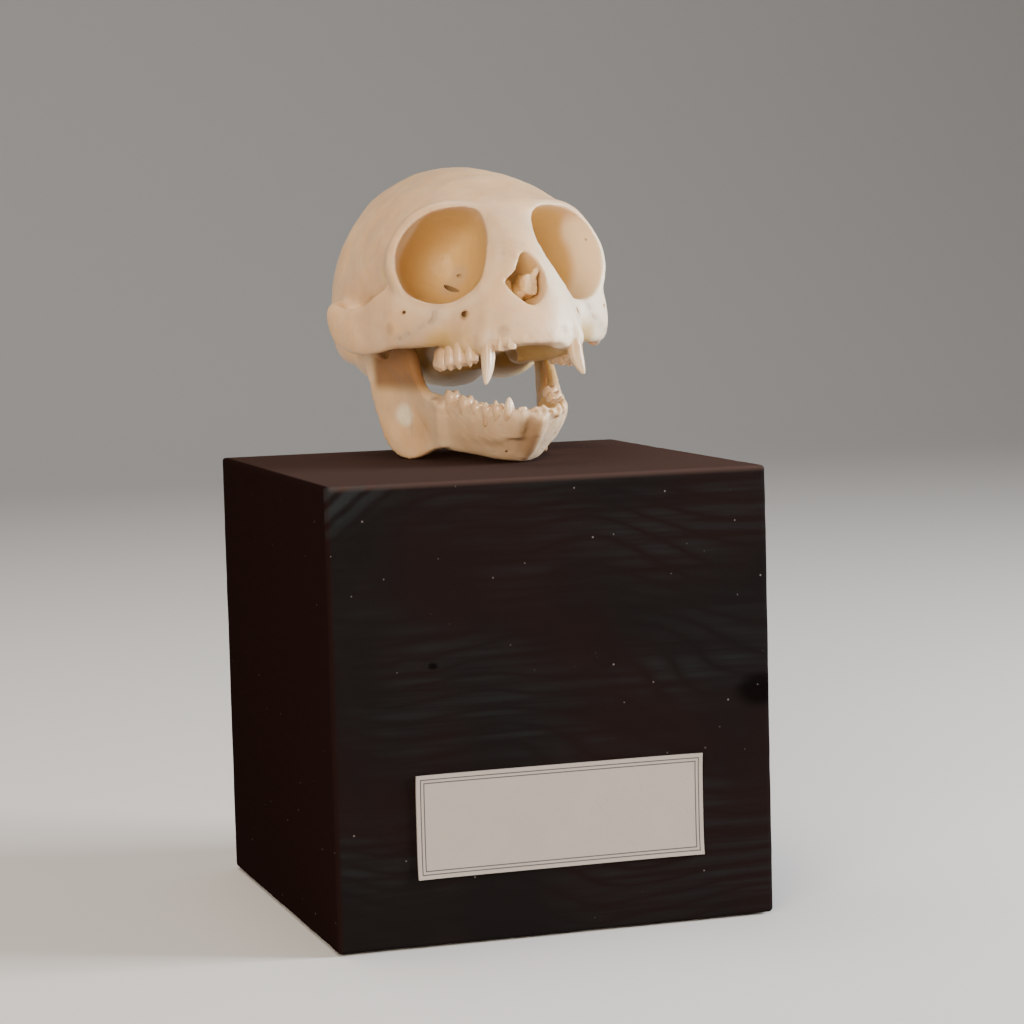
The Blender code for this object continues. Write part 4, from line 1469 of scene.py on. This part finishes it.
@dataclass
class Mandible(Bone):
    """Lower jaw: chin, two tooth bearing bodies and two flat branches with their joints."""

    voxel: float = 0.2
    thick: float = 1.1
    body: Sequence[Row] = (
        (0.0, -3.4, 6.3, 0.0, 1.1, 0.0, 1.6, 0.85), (1.9, -3.1, 6.3, 0.7, 1.3, 0.1, 1.5, 0.85),
        (3.2, -2.1, 6.3, 1.5, 1.9, 0.2, 1.4, 0.9), (4.2, -0.1, 6.4, 2.4, 3.2, 0.35, 1.3, 0.95),
        (5.0, 2.5, 6.5, 3.4, 5.2, 0.6, 1.25, 0.95), (5.75, 5.5, 6.9, 4.5, 7.8, 0.9, 1.15, 0.9),
        (6.5, 8.6, 7.6, 5.8, 10.1, 1.2, 0.9, 0.85), (7.6, 11.4, 8.0, 7.2, 12.2, 1.4, 0.6, 0.65),
        (8.7, 14.0, 8.0, 8.4, 14.4, 1.5, 0.35, 0.4))
    branch: Sequence[Row] = ((8.6, 1.5), (10.6, 1.2), (12.2, 0.5), (14.2, 0.0), (17.0, 0.5), (19.2, 2.3),
                             (21.0, 5.6), (22.2, 9.0), (23.1, 12.2), (22.0, 13.6), (20.2, 12.0), (18.0, 11.8),
                             (16.4, 13.8), (15.2, 15.4), (14.4, 14.4), (13.6, 11.8), (12.0, 9.6), (9.8, 7.6),
                             (7.2, 6.4))
    condyle: tuple[float, float, float] = (10.9, 22.3, 13.5)
    foramina: Sequence[tuple[Row, Row, float]] = (((2.6, -1.2, 1.2), (1.8, 1.5, 1.5), 0.17),
                                                  ((8.0, 17.4, 7.4), (9.4, 18.2, 7.0), 0.4))
    crowns: Sequence["Crown"] = ()
    empty: Sequence[Row] = ((-0.3, -4.9, 5.4), (0.6, -4.9, 5.4), (1.6, -4.8, 5.4), (2.6, -4.4, 5.5),
                            (3.5, -3.5, 5.6), (4.1, -2.0, 5.7))

    def plate(self, side: float) -> bpy.types.Object:
        """Model one flat branch, from the corner on the block up to its joint.

        Args:
            side: 1 for the left, -1 for the right.

        Returns:
            The closed form.
        """
        edge = Draft.between([*self.branch, self.branch[0]], 4)[:-1]
        rings = []
        for shift in (-0.5, 0.5):
            ring = []
            for y, z in edge:
                lean = 0.035 * max(z - 9.0, 0.0) * max(19.0 - y, 0.0)
                lean += 0.06 * max(6.0 - z, 0.0) * max(14.0 - y, 0.0)
                lean += (0.2 if side > 0 else 0.0) * max(4.0 - z, 0.0)
                out = 7.6 + 0.21 * (y - 8.0) + 0.02 * (z - 5.0) - lean
                ring.append(Vector((side * (out + shift * self.thick), y, z)))
            rings.append(ring)
        return Bench.skin(rings, "branch")

    def slab(self) -> bpy.types.Object:
        """Model the body of the jaw, one slab that bends round the chin.

        Returns:
            The closed form.
        """
        rows = [(-x, y, z, -low_x, *rest) for x, y, z, low_x, *rest in self.body[:0:-1]]
        table = Draft.between([*rows, *self.body], 5)
        middle = (table[:, 0:3] + table[:, 3:6]) / 2.0
        rings = []
        for k, row in enumerate(table):
            ahead = middle[min(k + 1, len(table) - 1)] - middle[max(k - 1, 0)]
            beside = Vector((ahead[1], -ahead[0], 0.0)).normalized()
            upright = Vector((row[0:3] - row[3:6]) / 2.0)
            mean, taper = (row[6] + row[7]) / 2.0, (row[6] - row[7]) / 2.0
            rings.append([Vector(middle[k]) + upright * s + beside * c * (mean + taper * s)
                          for c, s in Draft.around(40, 2.7)])
        return Bench.skin(rings, "body")

    def forms(self) -> list[bpy.types.Object]:
        """Return the overlapping solids of the jaw."""
        shapes = [self.slab()]
        for side in SIDES:
            shapes.append(self.plate(side))
            shapes.append(Bench.ball((side * self.condyle[0], *self.condyle[1:]), (2.1, 1.2, 1.2)))
        for k, (x, y, z) in enumerate(self.empty):
            high = 0.75 + 0.22 * math.sin(k * 2.4)
            shapes.append(Bench.ball((x + 0.1, y + 0.8, z + 0.55), (0.55, 0.5, high)))
        shapes.append(Draft.strut(((0.5, -3.9, 5.6, 1.0, 0.8), (0.35, -2.7, 3.8, 1.0, 0.8),
                                   (0.2, -1.1, 1.9, 0.9, 0.7), (0.0, 0.2, 0.7, 0.6, 0.5))))
        return shapes

    def relief(self, obj: bpy.types.Object) -> np.ndarray:
        """Return how far each point stands out for tooth roots, muscle marks and unevenness.

        Args:
            obj: the fused jaw.

        Returns:
            One amount in millimetres for each point.
        """
        rows = Bench.points(obj)
        folded = to_left(rows)
        amount = ripple(rows, 3.0) * 0.08 + ripple(rows, 1.1, 5.0) * 0.03 + ripple(rows, 0.5, 7.0) * 0.012
        seats = [(crown.place, 1.1 * max(crown.half), 0.34) for crown in self.crowns]
        seats += [((-crown.place[0], *crown.place[1:]), 1.1 * max(crown.half), 0.34)
                  for crown in self.crowns if crown.kind is not Tooth.CANINE and crown.place[0] > 0]
        seats += [(place, 0.42, 0.22) for place in self.empty]
        for (x, y, z), wide, high in seats:
            root = ((x * 1.05, y - 0.3, z + 0.3), (x * 0.88, y + 1.2, z - 2.2))
            amount += high * ridge(rows, root, wide)
        for x, y, z in self.empty:
            amount -= 0.5 * np.exp(-(np.linalg.norm(rows - (x * 0.95, y + 0.6, z + 0.5), axis=1) / 0.34) ** 2)
        amount -= 0.22 * ridge(folded, ((9.2, 14.6, 4.6), (9.4, 16.4, 6.6)), 2.2)
        front_edge = ((7.9, 10.0, 7.4), (8.4, 12.4, 9.6), (8.2, 14.0, 12.0))
        amount += 0.25 * ridge(folded, front_edge, 0.6)
        sockets = smooth_step(4.6, 5.6, rows[:, 2]) * smooth_step(10.0, 8.5, rows[:, 1])
        amount -= sockets * 0.12 * np.maximum(ripple(rows, 0.6, 2.0), 0.0)
        return amount

    def tone(self, obj: bpy.types.Object) -> Tone:
        """Colour the stains, the painted light on lit faces with a glowing pale spot on each branch, and the
        painted shade in the hollows and under the cheek arch.

        Args:
            obj: the finished jaw in its own frame.

        Returns:
            The masks.
        """
        rows = Bench.points(obj)
        folded = to_left(rows)
        free = openness(obj, 6.0)
        # Painted shade: ochre on the inner faces, on the branches under the cheek arches and where the surface
        # is enclosed.
        inward = smooth_step(0.1, -0.7, Bench.normals(obj)[:, 0] * np.sign(rows[:, 0]))
        shaded = smooth_step(7.2, 9.2, rows[:, 2]) * smooth_step(21.5, 19.5, rows[:, 1])
        painted_shade = np.maximum.reduce([inward * 0.6, shaded * 0.8, smooth_step(0.5, 0.1, free) * 0.6])
        keel = near_path(rows, ((-0.7, -3.6, 4.2), (-0.4, -2.6, 2.8), (0.0, -1.4, 1.5)))
        stain_and_shade = 0.6 * (1.0 - smooth_step(0.4, 2.1, keel)) * smooth_step(1.1, 0.2, rows[:, 0])
        stain_and_shade = np.maximum(stain_and_shade, spots(rows, [((-2.6, -3.2, 3.6), 0.9)]) * 0.12)
        stain_and_shade = np.maximum(stain_and_shade, spots(rows, [((-2.3, -0.5, 1.3), 0.4)]) * 0.6)
        for x, y, z in self.empty:
            streak = ((x + 0.5, y, z + 0.2), (x * 0.8 + 0.4, y + 1.6, z - 2.4))
            stain_and_shade = np.maximum(stain_and_shade, 0.3 * ridge(rows, streak, 0.2))
        # Painted shade: dark brown on the branches under the cheek arches, strongest on the right.
        stain_and_shade = np.maximum(stain_and_shade, shaded * np.where(rows[:, 0] < 0, 0.9, 0.2))
        gums = smooth_step(5.0, 6.0, rows[:, 2]) * smooth_step(9.0, 7.0, rows[:, 1])
        stain_and_shade = np.maximum(stain_and_shade, gums * 0.25 * (0.6 + ripple(rows, 0.7, 6.0)))
        # Painted light: a glowing pale spot on each branch where thin bone lets light through, the lit upper
        # branches and outer faces, and the lit left chin.
        window = np.linalg.norm((folded - np.array((9.2, 15.4, 5.1))) * (0.3, 0.62, 0.75), axis=1)
        pale_and_lit = (1.0 - smooth_step(0.5, 1.4, window)) * np.where(rows[:, 0] < 0, 1.0, 0.6)
        pale_and_lit = np.maximum(pale_and_lit, smooth_step(7.0, 10.0, rows[:, 2]) * smooth_step(13.0, 15.0, rows[:, 1]) * 0.25)
        left_chin = smooth_step(0.1, 2.2, rows[:, 0]) * smooth_step(4.0, 1.5, rows[:, 1]) * (1.0 - inward)
        pale_and_lit = np.maximum(pale_and_lit, 0.22 * smooth_step(12.0, 9.0, rows[:, 1]) * (1.0 - inward))
        pale_and_lit = np.maximum(pale_and_lit, left_chin * (0.34 + 0.25 * ripple(rows * (1.0, 1.0, 0.25), 0.5, 8.0)))
        seam = 0.35 * ridge(folded, ((0.0, -4.4, 5.6), (0.0, -2.2, 2.0), (0.0, -0.6, 0.2)), 0.15)
        return Tone(painted_shade, stain_and_shade, pale_and_lit, seam)

    def model(self) -> bpy.types.Object:
        """Model and colour the jaw in its own frame.

        Returns:
            The jaw.
        """
        obj = Bench.fuse("mandible", self.forms(), self.voxel, 18)
        Bench.keep_largest(obj)
        self.push(obj, self.relief(obj))
        Bench.carve(obj, [Draft.canal(start, end, wide, side) for start, end, wide in self.foramina
                          for side in SIDES])
        Bench.keep_largest(obj)
        self.thin(obj)
        self.tone(obj).store(obj.data)
        return obj


@dataclass(frozen=True)
class Crown:
    """One tooth: its kind, the middle of its neck, its half sizes, its length and its lean."""

    kind: Tooth
    place: tuple[float, float, float]
    half: tuple[float, float]
    length: float
    lean: tuple[float, float] = (0.0, 0.0)
    turn: float = 0.0
    root: float = 1.4
    rake: float = 0.0

    def cusps(self) -> list[tuple[float, float, float]]:
        """Return the places of the cusps as shares of the half sizes, with their heights."""
        if self.kind is Tooth.MOLAR:
            return [(0.5, -0.5, 0.24), (0.5, 0.5, 0.22), (-0.5, -0.35, 0.2), (-0.45, 0.5, 0.12)]
        if self.kind is Tooth.PREMOLAR:
            return [(0.4, -0.15, 0.3), (-0.5, 0.1, 0.12), (0.3, 0.7, 0.06)]
        return [(0.0, 0.0, 0.1)]

    def top(self, across: float, along: float) -> float:
        """Return the height of the chewing face, as a share of the length.

        Args:
            across: place across the crown, outward, as a share of its half width.
            along: place along the row, as a share of its half length.

        Returns:
            The height.
        """
        level = 0.66
        for x, y, height in self.cusps():
            level += height * math.exp(-((across - x) ** 2 + (along - y) ** 2) / 0.13)
        return level

    def profile(self) -> list[tuple[float, float]]:
        """Return the pairs of height and width, as shares, from the root to the tip."""
        sunk = -self.root / abs(self.length)
        if self.kind is Tooth.CANINE:
            return [(sunk, 0.7), (sunk * 0.4, 0.92), (0.0, 0.98), (0.12, 1.02), (0.3, 1.0), (0.5, 0.9),
                    (0.68, 0.76), (0.83, 0.57), (0.93, 0.38), (0.98, 0.22), (1.0, 0.09)]
        if self.kind is Tooth.INCISOR:
            return [(sunk, 0.6), (sunk * 0.4, 0.76), (0.0, 0.82), (0.25, 0.96), (0.55, 1.04), (0.8, 1.0),
                    (0.93, 0.86), (1.0, 0.55)]
        return [(sunk, 0.66), (sunk * 0.4, 0.86), (0.0, 0.93), (0.22, 1.02), (0.46, 1.04), (0.6, 0.98)]

    def model(self, side: float) -> bpy.types.Object:
        """Model the tooth.

        Args:
            side: the sign of x that its outer face points to.

        Returns:
            The closed tooth, rounded by subdivision.
        """
        x, y, z = self.place
        count = 24
        spin = Matrix.Rotation(math.radians(self.turn) * side, 2)
        rings = []
        for share, width in self.profile():
            flatten = 1.0
            if self.kind is Tooth.INCISOR:
                flatten = 1.0 - 0.62 * max(share, 0.0)
            ring = []
            for c, s in Draft.around(count, 2.2):
                groove = 1.0
                if self.kind is Tooth.CANINE and share > 0.02:
                    groove -= 0.16 * math.exp(-((math.atan2(s, c) + 1.9) / 0.32) ** 2)
                reach = width * groove
                flat = spin @ Vector((c * self.half[0] * reach, s * self.half[1] * reach * flatten))
                bend = share * share if share > 0 else share * 0.5
                back = self.rake * max(-share, 0.0) * abs(self.length)
                ring.append(Vector((x + side * flat.x + side * self.lean[0] * bend,
                                    y + flat.y + self.lean[1] * bend + back, z + share * self.length)))
            rings.append(ring)
        if self.kind in (Tooth.PREMOLAR, Tooth.MOLAR):
            for width in (0.84, 0.68, 0.5, 0.33, 0.17, 0.04):
                ring = []
                for c, s in Draft.around(count, 2.2):
                    flat = spin @ Vector((c * self.half[0] * width, s * self.half[1] * width))
                    ring.append(Vector((x + side * flat.x, y + flat.y,
                                        z + self.length * self.top(c * width, s * width))))
                rings.append(ring)
        obj = Bench.skin(rings, "tooth")
        Bench.apply(obj, "SUBSURF", levels=1, render_levels=1)
        return obj


@dataclass
class ToothRow:
    """The teeth of one jaw, fused to one piece that is sunk in the bone."""

    pose: Pose
    name: str
    node: str
    pairs: Sequence[Crown]
    single: Sequence[Crown] = ()

    def build(self, material: bpy.types.Material) -> None:
        """Model, colour and hand over the teeth.

        Args:
            material: the enamel.
        """
        parts = []
        for crown in self.pairs:
            parts.append(crown.model(1.0))
            mirrored = replace(crown, place=(-crown.place[0], *crown.place[1:]))
            parts.append(mirrored.model(-1.0))
        for crown in self.single:
            parts.append(crown.model(math.copysign(1.0, crown.place[0])))
        for part in parts:
            Bench.face_outward(part)
        obj = Bench.join(self.name, parts)
        rows = Bench.points(obj)
        Bench.set_points(obj, rows + Bench.normals(obj) * (ripple(rows, 0.5, 3.0) * 0.03)[:, None])
        count = len(rows)
        neck = np.zeros(count)
        folded = to_left(rows)
        for crown in (*self.pairs, *self.single):
            place = (abs(crown.place[0]), crown.place[1])
            near = np.hypot(folded[:, 0] - place[0], folded[:, 1] - place[1]) < max(crown.half) * 1.4
            share = (rows[:, 2] - crown.place[2]) / crown.length
            low = 0.9 * smooth_step(0.6, 0.05, share)
            if crown.kind is not Tooth.CANINE:
                low = np.maximum(low, 0.68)
            neck = np.maximum(neck, near * low)
        Tone(np.zeros(count), neck, np.zeros(count), np.zeros(count)).store(obj.data)
        self.pose.settle(obj)
        dress(obj, self.name, material, self.node)


@dataclass
class Mount:
    """The stained block and the card label on its front."""

    side: float = 0.050
    rounding: float = 0.00045
    label_size: tuple[float, float] = (0.0327, 0.01125)
    label_centre: tuple[float, float] = (0.0003, 0.01305)
    label_thick: float = 0.00028

    def block(self, material: bpy.types.Material) -> None:
        """Model the block with softened, slightly worn edges.

        Args:
            material: the wood's finish.
        """
        half = self.side / 2
        bpy.ops.object.select_all(action="DESELECT")
        bpy.ops.mesh.primitive_cube_add(size=2.0)
        obj = Bench.named("block")
        Bench.subdivide(70)
        rows = Bench.points(obj)
        rows = half * (1.5 * rows - 0.5 * rows ** 3)
        wear = self.rounding * (1.0 + 0.35 * ripple(rows, 0.009, 4.0) + 0.25 * ripple(rows, 0.0025, 9.0))
        core = np.clip(rows, -half + wear[:, None], half - wear[:, None])
        away = rows - core
        length = np.linalg.norm(away, axis=1)
        rows = core + away * (wear / np.maximum(length, 1e-9))[:, None]
        rows[:, 2] += half
        Bench.set_points(obj, rows)
        dents = np.minimum(0.35 - ripple(rows, 0.004, 8.0), 0.0) * 0.00008
        Bench.set_points(obj, rows + Bench.normals(obj) * (dents - 0.00001)[:, None])
        dress(obj, "wooden_block", material, "block", 40.0)

    def label(self, material: bpy.types.Material) -> None:
        """Model the card, flat on the block with its corners a little lifted.

        Args:
            material: the paper's finish.
        """
        bpy.ops.object.select_all(action="DESELECT")
        bpy.ops.mesh.primitive_cube_add(size=1.0, location=(self.label_centre[0], 0.0, self.label_centre[1]),
                                        scale=(self.label_size[0], self.label_thick, self.label_size[1]))
        obj = Bench.named("label")
        bpy.ops.object.transform_apply(location=True, rotation=True, scale=True)
        Bench.subdivide(30)
        rows = Bench.points(obj)
        across = np.abs(rows[:, 0] - self.label_centre[0]) / (self.label_size[0] / 2)
        above = np.abs(rows[:, 2] - self.label_centre[1]) / (self.label_size[1] / 2)
        lift = 0.00020 * (across * above) ** 4 + 0.00006 * across ** 6 + 0.00004 * above ** 6
        rows[:, 1] += -self.side / 2 - self.label_thick / 2 - 0.00002 - lift
        Bench.set_points(obj, rows)
        dress(obj, "label_card", material, "label", 40.0)


@dataclass
class Studio:
    """Camera, pale floor and soft lights."""

    side: float = 0.050
    azimuth: float = -17.675
    elevation: float = 5.274
    roll: float = -1.492
    distance: float = 6.9686
    aim_height: float = 0.88003
    aim_shift: float = 0.06805
    lens: float = 106.19

    def camera(self) -> None:
        """Set the camera at the photograph's viewing angle."""
        az, el, roll = (math.radians(a) for a in (self.azimuth, self.elevation, self.roll))
        back = Vector((math.sin(az) * math.cos(el), -math.cos(az) * math.cos(el), math.sin(el)))
        right = (-back).cross(Vector((0.0, 0.0, 1.0))).normalized()
        up = back.cross(right)
        turned_right = right * math.cos(roll) + up * math.sin(roll)
        turned_up = up * math.cos(roll) - right * math.sin(roll)
        aim = Vector((0.0, 0.0, self.aim_height)) + right * self.aim_shift
        place = (aim + back * self.distance) * self.side
        data = bpy.data.cameras.new("camera")
        data.sensor_width = 36.0
        data.lens = self.lens
        data.clip_start = 0.01
        camera = bpy.data.objects.new("camera", data)
        bpy.context.scene.collection.objects.link(camera)
        turn = Matrix((turned_right, turned_up, back)).transposed().to_4x4()
        camera.matrix_world = Matrix.Translation(place) @ turn
        bpy.context.scene.camera = camera

    def floor(self) -> None:
        """Lay a pale floor that curves up behind the block."""
        bpy.ops.object.select_all(action="DESELECT")
        bpy.ops.mesh.primitive_plane_add(size=2.4, location=(0.0, 0.0, -0.0002))
        obj = Bench.named("floor")
        bpy.ops.object.transform_apply(location=True, rotation=True, scale=True)
        bpy.ops.object.mode_set(mode="EDIT")
        bpy.ops.mesh.select_all(action="DESELECT")
        bpy.ops.object.mode_set(mode="OBJECT")
        for edge in obj.data.edges:
            edge.select = all(obj.data.vertices[k].co.y > 1.0 for k in edge.vertices)
        bpy.ops.object.mode_set(mode="EDIT")
        bpy.ops.mesh.select_mode(type="EDGE")
        bpy.ops.mesh.extrude_region_move(TRANSFORM_OT_translate={"value": (0.0, 0.0, 1.4)})
        bpy.ops.object.mode_set(mode="OBJECT")
        Bench.apply(obj, "BEVEL", width=0.6, segments=16, limit_method="ANGLE")
        Bench.alone(obj)
        bpy.ops.object.shade_smooth()
        material = bpy.data.materials.new("floor")
        material.use_nodes = True
        shader = material.node_tree.nodes["Principled BSDF"]
        shader.inputs["Base Color"].default_value = (0.66, 0.65, 0.64, 1.0)
        shader.inputs["Roughness"].default_value = 0.9
        obj.data.materials.append(material)

    @staticmethod
    def light(name: str, place: Row, aim: Row, size: float, power: float, colour: Colour) -> None:
        """Hang one soft square light.

        Args:
            name: its name.
            place: where it hangs.
            aim: where it points.
            size: its side.
            power: its watts.
            colour: its colour.
        """
        data = bpy.data.lights.new(name, "AREA")
        data.size = size
        data.energy = power
        data.color = colour
        lamp = bpy.data.objects.new(name, data)
        bpy.context.scene.collection.objects.link(lamp)
        lamp.location = place
        lamp.rotation_euler = (Vector(aim) - Vector(place)).to_track_quat("-Z", "Y").to_euler()

    def build(self) -> None:
        """Set up the camera, floor, lights and the pale room."""
        self.camera()
        self.floor()
        aim = (0.0, 0.0, 0.06)
        self.light("window", (0.42, -0.16, 0.18), aim, 0.20, 5.2, (0.92, 0.96, 1.0))
        self.light("front", (-0.32, -0.48, 0.20), aim, 0.30, 4.3, (1.0, 0.83, 0.64))
        self.light("top", (-0.08, 0.10, 0.50), aim, 0.30, 1.6, (1.0, 0.90, 0.78))
        world = bpy.data.worlds.new("room")
        bpy.context.scene.world = world
        world.use_nodes = True
        world.node_tree.nodes["Background"].inputs[0].default_value = (0.72, 0.72, 0.73, 1.0)
        world.node_tree.nodes["Background"].inputs[1].default_value = 0.24


SKULL_POSE = Pose((3.9, -10.5, 63.4), 2.0, 8.6)
JAW_POSE = Pose((3.45, -5.9, 50.03), 3.4)

UPPER_PAIRS = (
    Crown(Tooth.PREMOLAR, (6.2, 5.2, 0.45), (0.75, 0.8), -2.15, turn=-12),
    Crown(Tooth.PREMOLAR, (6.85, 7.0, 0.45), (0.95, 0.93), -2.2, turn=-8),
    Crown(Tooth.PREMOLAR, (7.2, 8.9, 0.45), (1.05, 0.98), -2.1, turn=-4),
    Crown(Tooth.MOLAR, (7.35, 11.1, 0.45), (1.2, 1.22), -2.0),
    Crown(Tooth.MOLAR, (7.1, 13.4, 0.45), (1.0, 1.0), -1.5),
)
UPPER_SINGLE = (
    Crown(Tooth.CANINE, (5.2, 2.5, 0.4), (0.84, 0.92), -3.6, (0.7, -0.4), 0.0, 2.0),
    Crown(Tooth.CANINE, (-5.2, 2.5, 0.4), (0.80, 0.92), -4.3, (0.7, -0.45), 0.0, 2.0),
    Crown(Tooth.INCISOR, (-2.9, 1.0, 1.2), (0.52, 0.5), -1.4, (-0.05, -0.15), 0.0, 1.2),
    Crown(Tooth.INCISOR, (-3.95, 1.5, 1.0), (0.46, 0.48), -1.3, (0.05, -0.1), 20.0, 1.2),
)
LOWER_PAIRS = (
    Crown(Tooth.PREMOLAR, (4.4, -0.2, 5.5), (0.8, 1.06), 1.75, turn=-16, rake=0.4),
    Crown(Tooth.PREMOLAR, (4.9, 1.75, 5.6), (0.85, 1.1), 1.85, turn=-14, rake=0.4),
    Crown(Tooth.MOLAR, (5.45, 4.15, 6.0), (0.95, 1.34), 2.1, turn=-12, rake=0.4),
    Crown(Tooth.MOLAR, (6.1, 7.0, 6.6), (0.92, 1.38), 2.0, turn=-12, rake=0.4),
)
LOWER_SINGLE = (
    Crown(Tooth.CANINE, (-2.95, -3.05, 5.5), (0.62, 0.62), 2.2, (0.1, -0.2), 0.0, 1.4, 0.9),
    Crown(Tooth.PREMOLAR, (-3.75, -1.7, 5.5), (0.72, 0.95), 2.0, turn=-24, rake=0.8),
    Crown(Tooth.INCISOR, (-1.6, -3.6, 5.5), (0.56, 0.5), 1.1, (0.0, -0.15), 0.0, 1.4, 0.9),
    Crown(Tooth.INCISOR, (-2.35, -3.4, 5.5), (0.42, 0.42), 0.75, (0.0, -0.1), 0.0, 1.4, 0.9),
)


def main() -> None:
    """Build the finishes, the studio and the pieces in order."""
    logging.basicConfig(level=logging.INFO, format="%(name)s: %(message)s")
    effects = Effects()
    bone = BoneFinish("dry bone", (0.70, 0.445, 0.235), 0.46).make(effects)
    enamel = EnamelFinish("enamel", (0.75, 0.58, 0.40), 0.30).make(effects)
    wood = WoodFinish("stained wood", (0.0078, 0.0066, 0.0066), 0.55).make(effects)
    mount = Mount()
    paper = PaperFinish("label card", (0.318, 0.280, 0.250), 0.8, mount.label_size,
                        mount.label_centre).make(effects)
    Studio().build()
    jaw = Mandible(JAW_POSE, crowns=(*LOWER_PAIRS, *LOWER_SINGLE))
    jaw_bone = jaw.model()
    Cranium(SKULL_POSE).build(jaw_bone, JAW_POSE, bone)
    jaw.settle(jaw_bone, "jaw_bone", bone, "mandible")
    ToothRow(SKULL_POSE, "upper_teeth", "cranium", UPPER_PAIRS, UPPER_SINGLE).build(enamel)
    ToothRow(JAW_POSE, "lower_teeth", "mandible", LOWER_PAIRS, LOWER_SINGLE).build(enamel)
    mount.block(wood)
    mount.label(paper)


if __name__ == "__main__":
    main()
